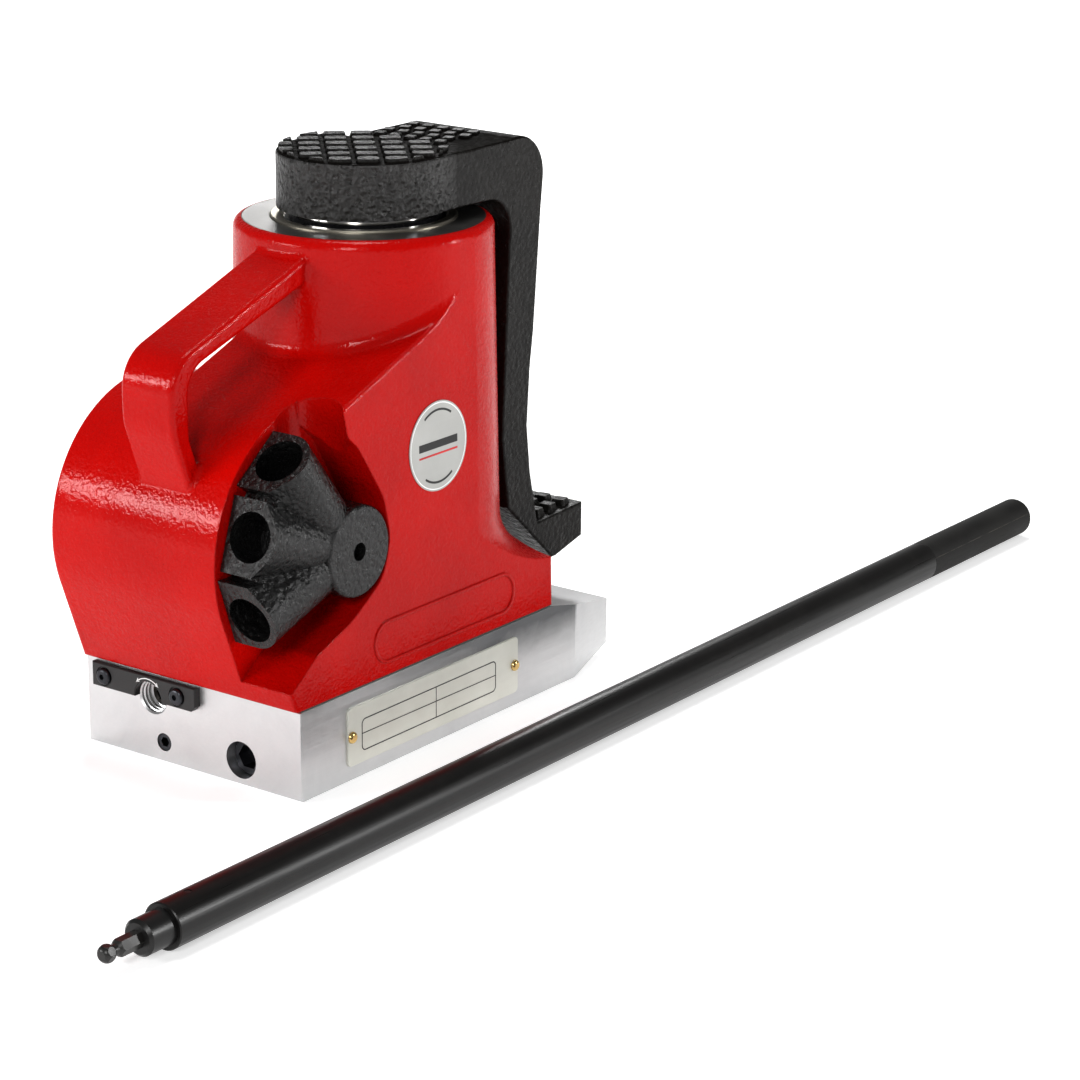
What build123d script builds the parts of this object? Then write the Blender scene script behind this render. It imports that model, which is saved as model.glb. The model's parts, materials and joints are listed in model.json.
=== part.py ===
from build123d import *
import os
from math import cos, hypot, radians, sin, tan

# Hydraulic toe jack: a lifting ram with a claw and a low toe, a side lever pump, and its pumping lever.
# Millimetres, +Z up. The origin is where the ram's axis meets the underside of the base.
# +X points to the toe, -X to the release valve, and -Y to the side with the pump socket.

os.makedirs("parts", exist_ok=True)

# ---------------------------------------------------------------- driving dimensions
base_front = -147.0
base_tip = 145.0
base_half_width = 76.0
base_height = 49.6
nose_start = 96.0
nose_half_width = 64.0
nose_ramp_start = 73.0
nose_tip_top = 33.0
nose_tip_bottom = 6.0

gasket_thickness = 0.8
body_floor = base_height + gasket_thickness
tower_top = 278.0
tower_foot_radius = 76.0
tower_top_radius = 71.0
tower_rim_radius = 66.0
slab_inset = 0.3
foot_height = 79.0
skirt_fillet_radius = 33.0
tower_root_fillet = 8.0
drum_rim_fillet = 2.0
channel_x = 58.0
channel_half_width = 50.0

handle_half_width = 18.0
handle_root_fillet = 3.0
handle_outer = [(-50, 275.7), (-176, 230), (-176, 196), (-160, 152)]
handle_inner = [(-50, 261), (-162.5, 224.7), (-162.5, 190), (-150, 158)]

pump_x = -97.0
pump_z = 124.5
drum_radius = 76.0
shelf_slope = 21.0
shelf_far_edge = 35.0
drum_toe_corner = (-150.0, body_floor)

liner_radius = 51.2
liner_bore = 42.05
liner_floor = 62.0
liner_top = 279.4
gland_bottom = 246.0
gland_radius = 45.0
ram_radius = 40.0
ram_bottom = 66.0
ram_shoulder = 283.5
ram_spigot_radius = 20.0

claw_half_width = 47.5
claw_head_top = 314.0
claw_arm_top = 314.4
tread_height = 2.5
tread_angle = 42.0
tread_pitch = 15.0
tread_column_offset = 0.7
tread_row_offset = 6.0

pocket_floor = -41.5
cavity_near = -27.0
cavity_far = 62.0
cavity_radius = 62.0
cavity_toe_limit = -64.0
shaft_radius = 12.0
shaft_far_end = 70.0
crank_throw = 24.0
plunger_x = pump_x - crank_throw
plunger_y = -1.0
plunger_radius = 7.0
barrel_radius = 14.0
barrel_top = 100.0
barrel_floor = 58.0

flange_top = 61.0
flange_end = -84.0
barrel_screw_places = [(-100, -12.5), (-100, 10.5)]
suction_place = (-91.0, -1.0)

bush_radius = 16.0
seal_radius = 18.0
seal_depth = 5.0
filler_place = (-118.0, 158.0)
filler_radius = 7.0
filler_seat = 72.6

pocket_outline = [
    (-108, 232),
    (-106, 190),
    (-95, 180),
    (-75, 149),
    (-70, 126),
    (-76.5, 105),
    (-104, 87.5),
    (-132, 77),
    (-150, 64),
    (-180, 44),
]
pocket_radii = (3, 8, 30, 22, 24, 60, 8, 40)
scoop_angle = 75.5
scoop_radius = 17.9

boss_radius = 25.0
socket_face = -75.0
socket_back = -42.3
socket_bore_y = -57.5
socket_bore_radius = 13.25
socket_tube_radius = 17.2
socket_tubes = ((52.5, 70.5), (17.5, 69.5), (-19.0, 71.5))
socket_bore_start = 44.5
socket_flare_angle = 40.0

valve_y = 27.7
valve_z = 35.5
plug_y = -34.1
plug_z = 13.8
grub_y = 20.6
grub_z = 11.1
port_x = -16.0

running_gap = 0.05
lever_y = -143.0
lever_radius = 12.0
lever_start = -327.0
grip_start = 376.0
grip_end = 503.0

bolt_places = [(-118, -62), (-128, 66), (-75, -60), (-50, 66), (12, -64), (12, 64), (60, -58), (60, 58)]
bolt_radius = 4.0
bolt_head_radius = 6.5
bolt_engagement = 14.0
cover_screw_places = [(6.8, 41.4), (59.4, 41.4)]
plate_left = -110.5
plate_right = 39.6
plate_bottom = 8.0
plate_top = 41.0
plate_screw_places = [(-107.2, 24.5), (36.3, 24.5)]

side_plane = Plane(origin=(0, -base_half_width, 0), x_dir=(1, 0, 0), z_dir=(0, -1, 0))
draft_run = tower_top - body_floor
draft_lean = tower_foot_radius - tower_top_radius
casting_side = Plane(
    origin=(0, slab_inset - tower_foot_radius - draft_lean * body_floor / draft_run, 0),
    x_dir=(1, 0, 0),
    z_dir=(0, -draft_run, draft_lean),
)


def wall_radius(height):
    """Radius of the drafted tower at a height above the floor."""
    rise = (height - body_floor) / (tower_top - body_floor)
    return tower_foot_radius + (tower_top_radius - tower_foot_radius) * rise


def across(y):
    """Plane of an upright section at Y, drawn in X and Z, whose extrusions run towards -Y."""
    return Plane(origin=(0, y, 0), x_dir=(1, 0, 0), z_dir=(0, -1, 0))


def on_front(x):
    """Plane parallel to the front face at X, drawn in -Y and Z, whose extrusions run towards -X."""
    return Plane(origin=(x, 0, 0), x_dir=(0, -1, 0), z_dir=(-1, 0, 0))


def spoke_plane(angle, distance):
    """Plane across a lever bore at a distance from the pump shaft, angle 0 facing the front."""
    outward = Vector(-cos(radians(angle)), 0, sin(radians(angle)))
    centre = Vector(pump_x, socket_bore_y, pump_z) + outward * distance
    return Plane(origin=centre, x_dir=(0, -1, 0), z_dir=outward)


# ---------------------------------------------------------------- base block
with BuildPart() as base_block:
    with BuildSketch(across(base_half_width)):
        with BuildLine():
            Polyline(
                (base_front, 0),
                (nose_start, 0),
                (base_tip, nose_tip_bottom),
                (base_tip, nose_tip_top),
                (nose_ramp_start, base_height),
                (base_front, base_height),
                close=True,
            )
        make_face()
    extrude(amount=2 * base_half_width)
    with BuildSketch(Plane.XY):
        with BuildLine():
            Polyline(
                (base_front, -base_half_width),
                (nose_start, -base_half_width),
                (base_tip, -nose_half_width),
                (base_tip, nose_half_width),
                (nose_start, base_half_width),
                (base_front, base_half_width),
                close=True,
            )
        make_face()
    extrude(amount=base_height, mode=Mode.INTERSECT)
    chamfer(base_block.faces().sort_by(Axis.X)[0].edges(), 0.6)
    chamfer(base_block.faces().sort_by(Axis.X)[-1].edges(), 0.8)
    # Groove for the ring seal under the cylinder.
    with BuildSketch(Plane.XY.offset(base_height)):
        Circle(47.6)
        Circle(44.4, mode=Mode.SUBTRACT)
    extrude(amount=-2.4, mode=Mode.SUBTRACT)
    # Release valve bore with a wide threaded mouth, its seat and the return passages.
    with BuildSketch(Plane(origin=(0, valve_y, valve_z), x_dir=(1, 0, 0), z_dir=(0, -1, 0))):
        with BuildLine():
            Polyline(
                (base_front + 8.4, 0),
                (base_front - 1, 0),
                (base_front - 1, 9.9),
                (base_front, 9.9),
                (base_front + 0.9, 9.0),
                (base_front + 2.3, 9.0),
                (base_front + 2.7, 8.2),
                (base_front + 3.3, 8.2),
                (base_front + 4.2, 9.0),
                (base_front + 5.0, 9.0),
                (base_front + 5.4, 8.2),
                (base_front + 6.0, 8.2),
                (base_front + 6.9, 9.0),
                (base_front + 7.7, 9.0),
                (base_front + 8.4, 7.5),
                close=True,
            )
        make_face()
    revolve(axis=Axis((0, valve_y, valve_z), (1, 0, 0)), mode=Mode.SUBTRACT)
    with BuildSketch(on_front(base_front)):
        with Locations((-valve_y, valve_z)):
            Circle(7.5)
    extrude(amount=-26, mode=Mode.SUBTRACT)
    with BuildSketch(on_front(base_front)):
        with Locations((-valve_y, valve_z)):
            Circle(5.0)
    extrude(amount=-53, mode=Mode.SUBTRACT)
    with BuildSketch(on_front(base_front)):
        with Locations((-valve_y, valve_z)):
            Circle(2.5)
    extrude(amount=-133, mode=Mode.SUBTRACT)
    # Relief valve chamber behind the large plug, and the pressure gallery beyond it.
    for gallery_radius, gallery_depth in ((10.3, 22), (6.0, 56), (2.5, 133)):
        with BuildSketch(on_front(base_front)):
            with Locations((-plug_y, plug_z)):
                Circle(gallery_radius)
        extrude(amount=-gallery_depth, mode=Mode.SUBTRACT)
    # Delivery drilling, closed by the small grub screw.
    for gallery_radius, gallery_depth in ((5.05, 16), (2.5, 66)):
        with BuildSketch(on_front(base_front)):
            with Locations((-grub_y, grub_z)):
                Circle(gallery_radius)
        extrude(amount=-gallery_depth, mode=Mode.SUBTRACT)
    # Delivery valve pocket under the pump barrel.
    with BuildSketch(Plane.XY.offset(base_height)):
        with Locations((plunger_x, plunger_y)):
            Circle(4.0)
    extrude(amount=-20, mode=Mode.SUBTRACT)
    with BuildSketch(Plane.XY.offset(base_height)):
        with Locations((plunger_x, plunger_y)):
            Circle(2.0)
    extrude(amount=grub_z - base_height, mode=Mode.SUBTRACT)
    # Cross drillings from the delivery pocket to its drilling, and on to the pressure gallery.
    for cross_x, cross_start, cross_end in ((plunger_x, grub_y, plunger_y - 2), (-84, grub_y, plug_y)):
        with BuildSketch(across(cross_start)):
            with Locations((cross_x, (grub_z + plug_z) / 2)):
                Circle(1.6)
        extrude(amount=cross_start - cross_end, mode=Mode.SUBTRACT)
    # Return from the relief chamber to the reservoir.
    with BuildSketch(across(-20)):
        with Locations((-98, plug_z)):
            Circle(1.6)
    extrude(amount=-20 - plug_y, mode=Mode.SUBTRACT)
    with BuildSketch(Plane.XY.offset(base_height)):
        with Locations((-98, -21)):
            Circle(2.0)
    extrude(amount=plug_z - base_height, mode=Mode.SUBTRACT)
    # Passages up to the cylinder and back to the reservoir.
    with BuildSketch(Plane.XY.offset(base_height)):
        with Locations((port_x, plug_y)):
            Circle(2.5)
    extrude(amount=plug_z - base_height, mode=Mode.SUBTRACT)
    with BuildSketch(Plane.XY.offset(base_height)):
        with Locations((port_x, valve_y), (-112, valve_y)):
            Circle(2.5)
    extrude(amount=valve_z - base_height, mode=Mode.SUBTRACT)
    # Counterbored holes for the screws that hold the body from below.
    for bolt_x, bolt_y in bolt_places:
        with Locations(Plane(origin=(bolt_x, bolt_y, 0), x_dir=(1, 0, 0), z_dir=(0, 0, -1))):
            CounterBoreHole(radius=4.3, counter_bore_radius=7.2, counter_bore_depth=10)
    # Tapped holes for the pump barrel's flange screws.
    with BuildSketch(Plane.XY.offset(base_height)):
        with Locations(barrel_screw_places):
            Circle(2.55)
    extrude(amount=-13, mode=Mode.SUBTRACT)
    # Tapped holes for the valve cover plate and drilled holes for the data plate's drive screws.
    with BuildSketch(on_front(base_front)):
        with Locations([(-y, z) for y, z in cover_screw_places]):
            Circle(2.55)
    extrude(amount=-12, mode=Mode.SUBTRACT)
    with BuildSketch(side_plane):
        with Locations(plate_screw_places):
            Circle(1.6)
    extrude(amount=-8, mode=Mode.SUBTRACT)
base_block.part.label = "base_block"
export_step(base_block.part, "parts/base_block.step")

# ---------------------------------------------------------------- gasket and ring seal
opening_front = -136.0
opening_near = cavity_near + 3
opening_far = cavity_far - 3
opening_centre = ((opening_front + cavity_toe_limit) / 2, (opening_near + opening_far) / 2)
opening_size = (cavity_toe_limit - opening_front, opening_far - opening_near)
with BuildPart() as body_gasket:
    with BuildSketch(Plane.XY.offset(base_height)):
        with Locations(((base_front + nose_ramp_start) / 2, 0)):
            Rectangle(nose_ramp_start - base_front - 1.6, 2 * base_half_width - 1.6)
        Circle(liner_radius + 0.3, mode=Mode.SUBTRACT)
        with Locations(opening_centre):
            Rectangle(*opening_size, mode=Mode.SUBTRACT)
        with Locations(bolt_places):
            Circle(bolt_radius + 0.3, mode=Mode.SUBTRACT)
    extrude(amount=gasket_thickness)
body_gasket.part.label = "body_gasket"
export_step(body_gasket.part, "parts/body_gasket.step")

with BuildPart() as cylinder_seal_ring:
    with BuildSketch(Plane.XZ):
        with Locations((46, base_height - 1.2)):
            Circle(1.15)
    revolve(axis=Axis.Z)
cylinder_seal_ring.part.label = "cylinder_seal_ring"
export_step(cylinder_seal_ring.part, "parts/cylinder_seal_ring.step")

# ---------------------------------------------------------------- body casting
slope = radians(shelf_slope)
shelf_start = (pump_x - drum_radius * sin(slope), pump_z + drum_radius * cos(slope))
shelf_end_height = shelf_start[1] - shelf_start[0] * tan(slope)
corner_dx = pump_x - drum_toe_corner[0]
corner_dz = pump_z - drum_toe_corner[1]
corner_distance = hypot(corner_dx, corner_dz)
tangent_length = (corner_distance**2 - drum_radius**2) ** 0.5
# Unit vector from the corner to the drum's centre, turned by the tangent's angle.
along_x = corner_dx / corner_distance
along_z = corner_dz / corner_distance
turn_cos = tangent_length / corner_distance
turn_sin = drum_radius / corner_distance
drum_tangent = (
    drum_toe_corner[0] + tangent_length * (along_x * turn_cos - along_z * turn_sin),
    drum_toe_corner[1] + tangent_length * (along_x * turn_sin + along_z * turn_cos),
)
drum_front = (pump_x - drum_radius, pump_z)
drum_back = (pump_x + drum_radius * cos(radians(45)), pump_z + drum_radius * sin(radians(45)))
drum_crown = (pump_x, pump_z + drum_radius)


def shelf_height(x):
    """Height of the sloping shelf at X."""
    return shelf_start[1] + (x - shelf_start[0]) * tan(slope)


def lies_on_shelf_and_tower(edge):
    """True for an edge along which the shelf meets the tower's wall."""
    points = [edge @ t for t in (0.02, 0.5, 0.98)]
    on_shelf = all(abs(p.Z - shelf_height(p.X)) < 0.05 for p in points)
    on_wall = all(abs(hypot(p.X, p.Y) - wall_radius(p.Z)) < 0.05 for p in points)
    return on_shelf and on_wall


def lies_on_drum_rim(edge):
    """True for the curved rims of the drum and the shelf's ridge, on the two drafted sides."""
    points = [edge @ t for t in (0.05, 0.5, 0.95)]
    on_side = all(abs(abs(p.Y) - (wall_radius(p.Z) - slab_inset)) < 0.05 for p in points)
    on_drum = all(abs(hypot(p.X - pump_x, p.Z - pump_z) - drum_radius) < 0.05 for p in points)
    on_shelf = all(abs(p.Z - shelf_height(p.X)) < 0.05 for p in points)
    return on_side and (on_drum or on_shelf)


def lies_on_handle_root(edge):
    """True for the edges where the handle enters the tower's wall or the drum."""
    points = [edge @ t for t in (0.05, 0.5, 0.95)]
    near_handle = all(abs(p.Y) < handle_half_width + 0.5 for p in points)
    on_wall = all(
        abs(hypot(p.X, p.Y) - wall_radius(p.Z)) < 0.05 and p.Z > 230 and p.X < -60
        for p in points
    )
    on_drum = all(
        abs(hypot(p.X - pump_x, p.Z - pump_z) - drum_radius) < 0.05 and p.X < -145 and p.Z > 140
        for p in points
    )
    return near_handle and (on_wall or on_drum)


# The carrying handle: a flat band from the tower's top, over and down to the front of the drum.
with BuildPart() as handle_bar:
    with BuildSketch(across(handle_half_width)):
        with BuildLine():
            FilletPolyline(*handle_outer, radius=(24, 34))
            FilletPolyline(*handle_inner, radius=(17, 20))
            Line(handle_outer[0], handle_inner[0])
            Line(handle_outer[-1], handle_inner[-1])
        make_face()
    extrude(amount=2 * handle_half_width)
    fillet(handle_bar.faces().sort_by(Axis.Y)[0].edges(), 3)
    fillet(handle_bar.faces().sort_by(Axis.Y)[-1].edges(), 3)

with BuildPart() as body_casting:
    # Drafted tower with a rounded rim, and the concave skirt at its foot.
    skirt_centre = wall_radius(foot_height + skirt_fillet_radius) + skirt_fillet_radius
    with BuildSketch(Plane.XZ):
        with BuildLine():
            Polyline(
                (skirt_centre, foot_height),
                (skirt_centre, body_floor),
                (0, body_floor),
                (0, tower_top),
                (tower_rim_radius, tower_top),
            )
            ThreePointArc(
                (tower_rim_radius, tower_top),
                (wall_radius(tower_top - 1.6) - 1.5, tower_top - 1.6),
                (wall_radius(tower_top - 5.5), tower_top - 5.5),
            )
            Line(
                (wall_radius(tower_top - 5.5), tower_top - 5.5),
                (skirt_centre - skirt_fillet_radius, foot_height + skirt_fillet_radius),
            )
            RadiusArc(
                (skirt_centre - skirt_fillet_radius, foot_height + skirt_fillet_radius),
                (skirt_centre, foot_height),
                -skirt_fillet_radius,
            )
        make_face()
    revolve(axis=Axis.Z)
    # Near half of the pump drum, with the shelf that climbs to the tower.
    with BuildSketch(across(shelf_far_edge)):
        with BuildLine():
            Line(drum_toe_corner, drum_tangent)
            ThreePointArc(drum_tangent, drum_front, shelf_start)
            Polyline(shelf_start, (0, shelf_end_height), (0, body_floor), drum_toe_corner)
        make_face()
    extrude(amount=shelf_far_edge + base_half_width + 4)
    # Far half of the drum, which keeps its full round.
    with BuildSketch(across(base_half_width + 4)):
        with BuildLine():
            Line(drum_toe_corner, drum_tangent)
            ThreePointArc(drum_tangent, drum_front, drum_crown)
            ThreePointArc(
                drum_crown,
                (pump_x + drum_radius * sin(radians(22.5)), pump_z + drum_radius * cos(radians(22.5))),
                drum_back,
            )
            Polyline(drum_back, (-20, drum_back[1] - 14), (0, 150), (0, body_floor), drum_toe_corner)
        make_face()
    extrude(amount=2 * base_half_width)
    # Foot under the toe end.
    with BuildSketch(Plane.XY.offset(body_floor)):
        with Locations((nose_ramp_start / 2, 0)):
            Rectangle(nose_ramp_start, 2 * base_half_width)
    extrude(amount=foot_height - body_floor)
    # Drafted sides and a square toe end.
    with BuildSketch(Plane(origin=(nose_ramp_start, 0, 0), x_dir=(0, 1, 0), z_dir=(1, 0, 0))):
        with BuildLine():
            Polyline(
                (-tower_foot_radius + slab_inset, body_floor),
                (tower_foot_radius - slab_inset, body_floor),
                (tower_top_radius - slab_inset, tower_top),
                (-tower_top_radius + slab_inset, tower_top),
                close=True,
            )
        make_face()
    extrude(amount=-260, mode=Mode.INTERSECT)
    # Rounded root where the shelf meets the tower.
    fillet(body_casting.edges().filter_by(lies_on_shelf_and_tower), tower_root_fillet)
    # Rounded rims of the drum and the shelf.
    fillet(body_casting.edges().filter_by(lies_on_drum_rim), drum_rim_fillet)
    # Handle, blended into the tower and the drum.
    add(handle_bar.part)
    fillet(body_casting.edges().filter_by(lies_on_handle_root), handle_root_fillet)
    # Pocket for the pump socket, open to the front.
    with BuildSketch(across(pocket_floor)):
        with BuildLine():
            FilletPolyline(*pocket_outline, radius=pocket_radii)
            Polyline(
                pocket_outline[-1],
                (-190, pocket_outline[-1][1]),
                (-190, pocket_outline[0][1]),
                pocket_outline[0],
            )
        make_face()
    extrude(amount=base_half_width, mode=Mode.SUBTRACT)
    # Round scoop at the pocket's top, which clears the upper lever bore at the end of its swing.
    with BuildSketch(spoke_plane(scoop_angle, 30)):
        Circle(scoop_radius)
    extrude(amount=60, mode=Mode.SUBTRACT)
    # Flat channel down the toe side, in which the claw slides.
    with BuildSketch(across(channel_half_width)):
        with BuildLine():
            Polyline(
                (channel_x, tower_top + 5),
                (channel_x, 98),
                (channel_x + 17, 82),
                (channel_x + 30, 82),
                (channel_x + 30, tower_top + 5),
                close=True,
            )
        make_face()
    extrude(amount=2 * channel_half_width, mode=Mode.SUBTRACT)
    # Bore for the cylinder.
    with BuildSketch(Plane.XY.offset(body_floor)):
        Circle(liner_radius + running_gap)
    extrude(amount=tower_top - body_floor, mode=Mode.SUBTRACT)
    # Oil reservoir and crank chamber, open at the bottom where the base closes it.
    with BuildSketch(across(cavity_far)):
        with Locations((pump_x, pump_z)):
            Circle(cavity_radius)
        with Locations((cavity_toe_limit - 60, pump_z)):
            Rectangle(120, 140, mode=Mode.INTERSECT)
    extrude(amount=cavity_far - cavity_near, mode=Mode.SUBTRACT)
    with BuildSketch(Plane.XY.offset(body_floor)):
        with Locations(opening_centre):
            Rectangle(*opening_size)
    extrude(amount=36, mode=Mode.SUBTRACT)
    # Seats for the pump shaft's seal and its two bushes.
    with BuildSketch(across(cavity_near)):
        with Locations((pump_x, pump_z)):
            Circle(bush_radius)
    extrude(amount=cavity_near - pocket_floor, mode=Mode.SUBTRACT)
    with BuildSketch(across(pocket_floor + seal_depth)):
        with Locations((pump_x, pump_z)):
            Circle(seal_radius)
    extrude(amount=seal_depth, mode=Mode.SUBTRACT)
    with BuildSketch(across(shaft_far_end + 1)):
        with Locations((pump_x, pump_z)):
            Circle(bush_radius)
    extrude(amount=shaft_far_end + 1 - cavity_far, mode=Mode.SUBTRACT)
    # Filler hole through the far wall, with a flat seat.
    with BuildSketch(across(base_half_width + 2)):
        with Locations(filler_place):
            Circle(10.8)
    extrude(amount=base_half_width + 2 - filler_seat, mode=Mode.SUBTRACT)
    with BuildSketch(across(base_half_width)):
        with Locations(filler_place):
            Circle(filler_radius)
    extrude(amount=base_half_width - cavity_far + 2, mode=Mode.SUBTRACT)
    # Tapped holes for the screws that come up through the base.
    with BuildSketch(Plane.XY.offset(body_floor)):
        with Locations(bolt_places):
            Circle(bolt_radius + 0.02)
    extrude(amount=bolt_engagement + 2, mode=Mode.SUBTRACT)
    # Raised pill-shaped frame on the side.
    with BuildSketch(casting_side):
        with Locations((-24, 69)):
            SlotOverall(124, 24)
            SlotOverall(120.6, 20.6, mode=Mode.SUBTRACT)
    extrude(amount=0.7)
body_casting.part.label = "body_casting"
export_step(body_casting.part, "parts/body_casting.step")

# ---------------------------------------------------------------- cylinder, gland and ram
with BuildPart() as cylinder_liner:
    with BuildSketch(Plane.XZ):
        with BuildLine():
            Polyline(
                (0, base_height),
                (liner_radius - 1, base_height),
                (liner_radius, base_height + 1),
                (liner_radius, liner_top - 0.8),
                (liner_radius - 0.8, liner_top),
                (gland_radius + 1.2, liner_top),
                (gland_radius, liner_top - 1.2),
                (gland_radius, gland_bottom),
                (liner_bore, gland_bottom),
                (liner_bore, liner_floor),
                (0, liner_floor),
                close=True,
            )
        make_face()
    revolve(axis=Axis.Z)
    # Pressure and return ports through the closed end.
    with BuildSketch(Plane.XY.offset(base_height)):
        with Locations((port_x, plug_y), (port_x, valve_y)):
            Circle(2.5)
    extrude(amount=liner_floor - base_height, mode=Mode.SUBTRACT)
    # Assembly notch in the lip.
    with BuildSketch(Plane.XY.offset(liner_top)):
        with Locations((-gland_radius - 0.5, 3)):
            Rectangle(4, 4)
    extrude(amount=-3.2, mode=Mode.SUBTRACT)
cylinder_liner.part.label = "cylinder_liner"
export_step(cylinder_liner.part, "parts/cylinder_liner.step")

gland_top = 272.0
with BuildPart() as gland_ring:
    with BuildSketch(Plane.XY.offset(gland_bottom)):
        Circle(gland_radius - running_gap)
        Circle(ram_radius + running_gap, mode=Mode.SUBTRACT)
    extrude(amount=gland_top - gland_bottom)
    with BuildSketch(Plane.XY.offset(254)):
        Circle(43)
        Circle(ram_radius, mode=Mode.SUBTRACT)
    extrude(amount=6, mode=Mode.SUBTRACT)
gland_ring.part.label = "gland_ring"
export_step(gland_ring.part, "parts/gland_ring.step")

with BuildPart() as rod_seal:
    with BuildSketch(Plane.XY.offset(254.2)):
        Circle(42.9)
        Circle(ram_radius + running_gap, mode=Mode.SUBTRACT)
    extrude(amount=5.6)
    chamfer(rod_seal.edges().filter_by(GeomType.CIRCLE).sort_by(Axis.Z)[-2:], 0.6)
rod_seal.part.label = "rod_seal"
export_step(rod_seal.part, "parts/rod_seal.step")

with BuildPart() as rod_wiper:
    with BuildSketch(Plane.XZ):
        with BuildLine():
            Polyline(
                (ram_radius + 1.6, gland_top + 0.1),
                (gland_radius - 0.3, gland_top + 0.1),
                (gland_radius - 0.3, liner_top - 2.4),
                (ram_radius + 3.2, liner_top - 1.0),
                (ram_radius + 0.7, liner_top + 0.4),
                (ram_radius + 0.1, liner_top + 0.2),
                (ram_radius + 0.1, liner_top - 1.4),
                close=True,
            )
        make_face()
    revolve(axis=Axis.Z)
rod_wiper.part.label = "rod_wiper"
export_step(rod_wiper.part, "parts/rod_wiper.step")

piston_groove_radius = 37.5
bearing_z = 69.5
bearing_length = 14.0
piston_seal_z = 85.5
piston_seal_length = 8.0
ram_spigot_top = 300.0
with BuildPart() as ram:
    with BuildSketch(Plane.XZ):
        with BuildLine():
            Polyline(
                (0, ram_bottom),
                (ram_radius - 1.5, ram_bottom),
                (ram_radius, ram_bottom + 1.5),
                (ram_radius, ram_shoulder - 1.2),
                (ram_radius - 1.2, ram_shoulder),
                (ram_spigot_radius, ram_shoulder),
                (ram_spigot_radius, ram_spigot_top - 1),
                (ram_spigot_radius - 1, ram_spigot_top),
                (0, ram_spigot_top),
                close=True,
            )
        make_face()
    revolve(axis=Axis.Z)
    for groove_z, groove_length in ((bearing_z, bearing_length), (piston_seal_z, piston_seal_length)):
        with BuildSketch(Plane.XY.offset(groove_z)):
            Circle(ram_radius + 1)
            Circle(piston_groove_radius, mode=Mode.SUBTRACT)
        extrude(amount=groove_length, mode=Mode.SUBTRACT)
    # Hollow core, open to the oil.
    with BuildSketch(Plane.XY.offset(ram_bottom)):
        Circle(22)
    extrude(amount=180, mode=Mode.SUBTRACT)
    # Shallow groove round the spigot for the claw's set screw.
    with BuildSketch(Plane.XY.offset(288)):
        Circle(ram_spigot_radius + 1)
        Circle(ram_spigot_radius - 1.5, mode=Mode.SUBTRACT)
    extrude(amount=9, mode=Mode.SUBTRACT)
ram.part.label = "ram"
export_step(ram.part, "parts/ram.step")

with BuildPart() as piston_bearing:
    with BuildSketch(Plane.XY.offset(bearing_z + 0.1)):
        Circle(liner_bore - running_gap)
        Circle(piston_groove_radius + 0.1, mode=Mode.SUBTRACT)
    extrude(amount=bearing_length - 0.2)
piston_bearing.part.label = "piston_bearing"
export_step(piston_bearing.part, "parts/piston_bearing.step")

with BuildPart() as piston_seal:
    with BuildSketch(Plane.XY.offset(piston_seal_z + 0.1)):
        Circle(liner_bore - running_gap)
        Circle(piston_groove_radius + 0.1, mode=Mode.SUBTRACT)
    extrude(amount=piston_seal_length - 0.2)
    chamfer(piston_seal.edges().filter_by(GeomType.CIRCLE).sort_by(Axis.Z)[:2], 0.8)
piston_seal.part.label = "piston_seal"
export_step(piston_seal.part, "parts/piston_seal.step")

# ---------------------------------------------------------------- claw
claw_tip_x = 141.8
claw_rim_fillet = 1.5
toe_tip_top = 89.8
toe_root_top = 87.6
arm_tread_low = 312.9
arm_tread_top = 316.0


def tread_place(column, row):
    """Centre of a tread block in the slanting grid over the ram's axis."""
    across_columns = column * tread_pitch + tread_column_offset
    along_column = row * tread_pitch + tread_row_offset
    x = along_column * cos(radians(tread_angle)) + across_columns * sin(radians(tread_angle))
    y = along_column * sin(radians(tread_angle)) - across_columns * cos(radians(tread_angle))
    return x, y


# Blocks of the round head, which stop at its rim.
with BuildPart() as head_tread:
    with BuildSketch(Plane.XY.offset(claw_head_top - 0.4)):
        for column in range(-4, 5):
            for row in range(-4, 4):
                block_x, block_y = tread_place(column, row)
                if hypot(block_x, block_y) < claw_half_width + 6 and block_x < 30:
                    with Locations((block_x, block_y)):
                        RectangleRounded(10.4, 13.4, 3.2, rotation=tread_angle)
    extrude(amount=tread_height + 0.4, taper=18)
    with BuildSketch(Plane.XY.offset(claw_head_top - 1)):
        Circle(claw_half_width - claw_rim_fillet)
    extrude(amount=tread_height + 2, mode=Mode.INTERSECT)

# Lower, smaller blocks along the middle of the arm's top.
with BuildPart() as arm_tread:
    with BuildSketch(Plane.XY.offset(arm_tread_low)):
        for column in range(4):
            for row in range(5):
                with Locations((37 + 11 * column, -24 + 10.5 * row + 3 * (column % 2))):
                    RectangleRounded(8.4, 7.4, 1.5, rotation=20)
    extrude(amount=arm_tread_top - arm_tread_low, taper=18)

# Blocks of the low toe.
with BuildPart() as toe_tread:
    with BuildSketch(Plane.XY.offset(toe_root_top - 0.4)):
        for column in range(7):
            for row in range(3):
                with Locations((107 + 12.4 * row, -38.5 + 12.8 * column)):
                    RectangleRounded(10.2, 10.8, 2.4, rotation=8)
    extrude(amount=5.6, taper=18)

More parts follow.
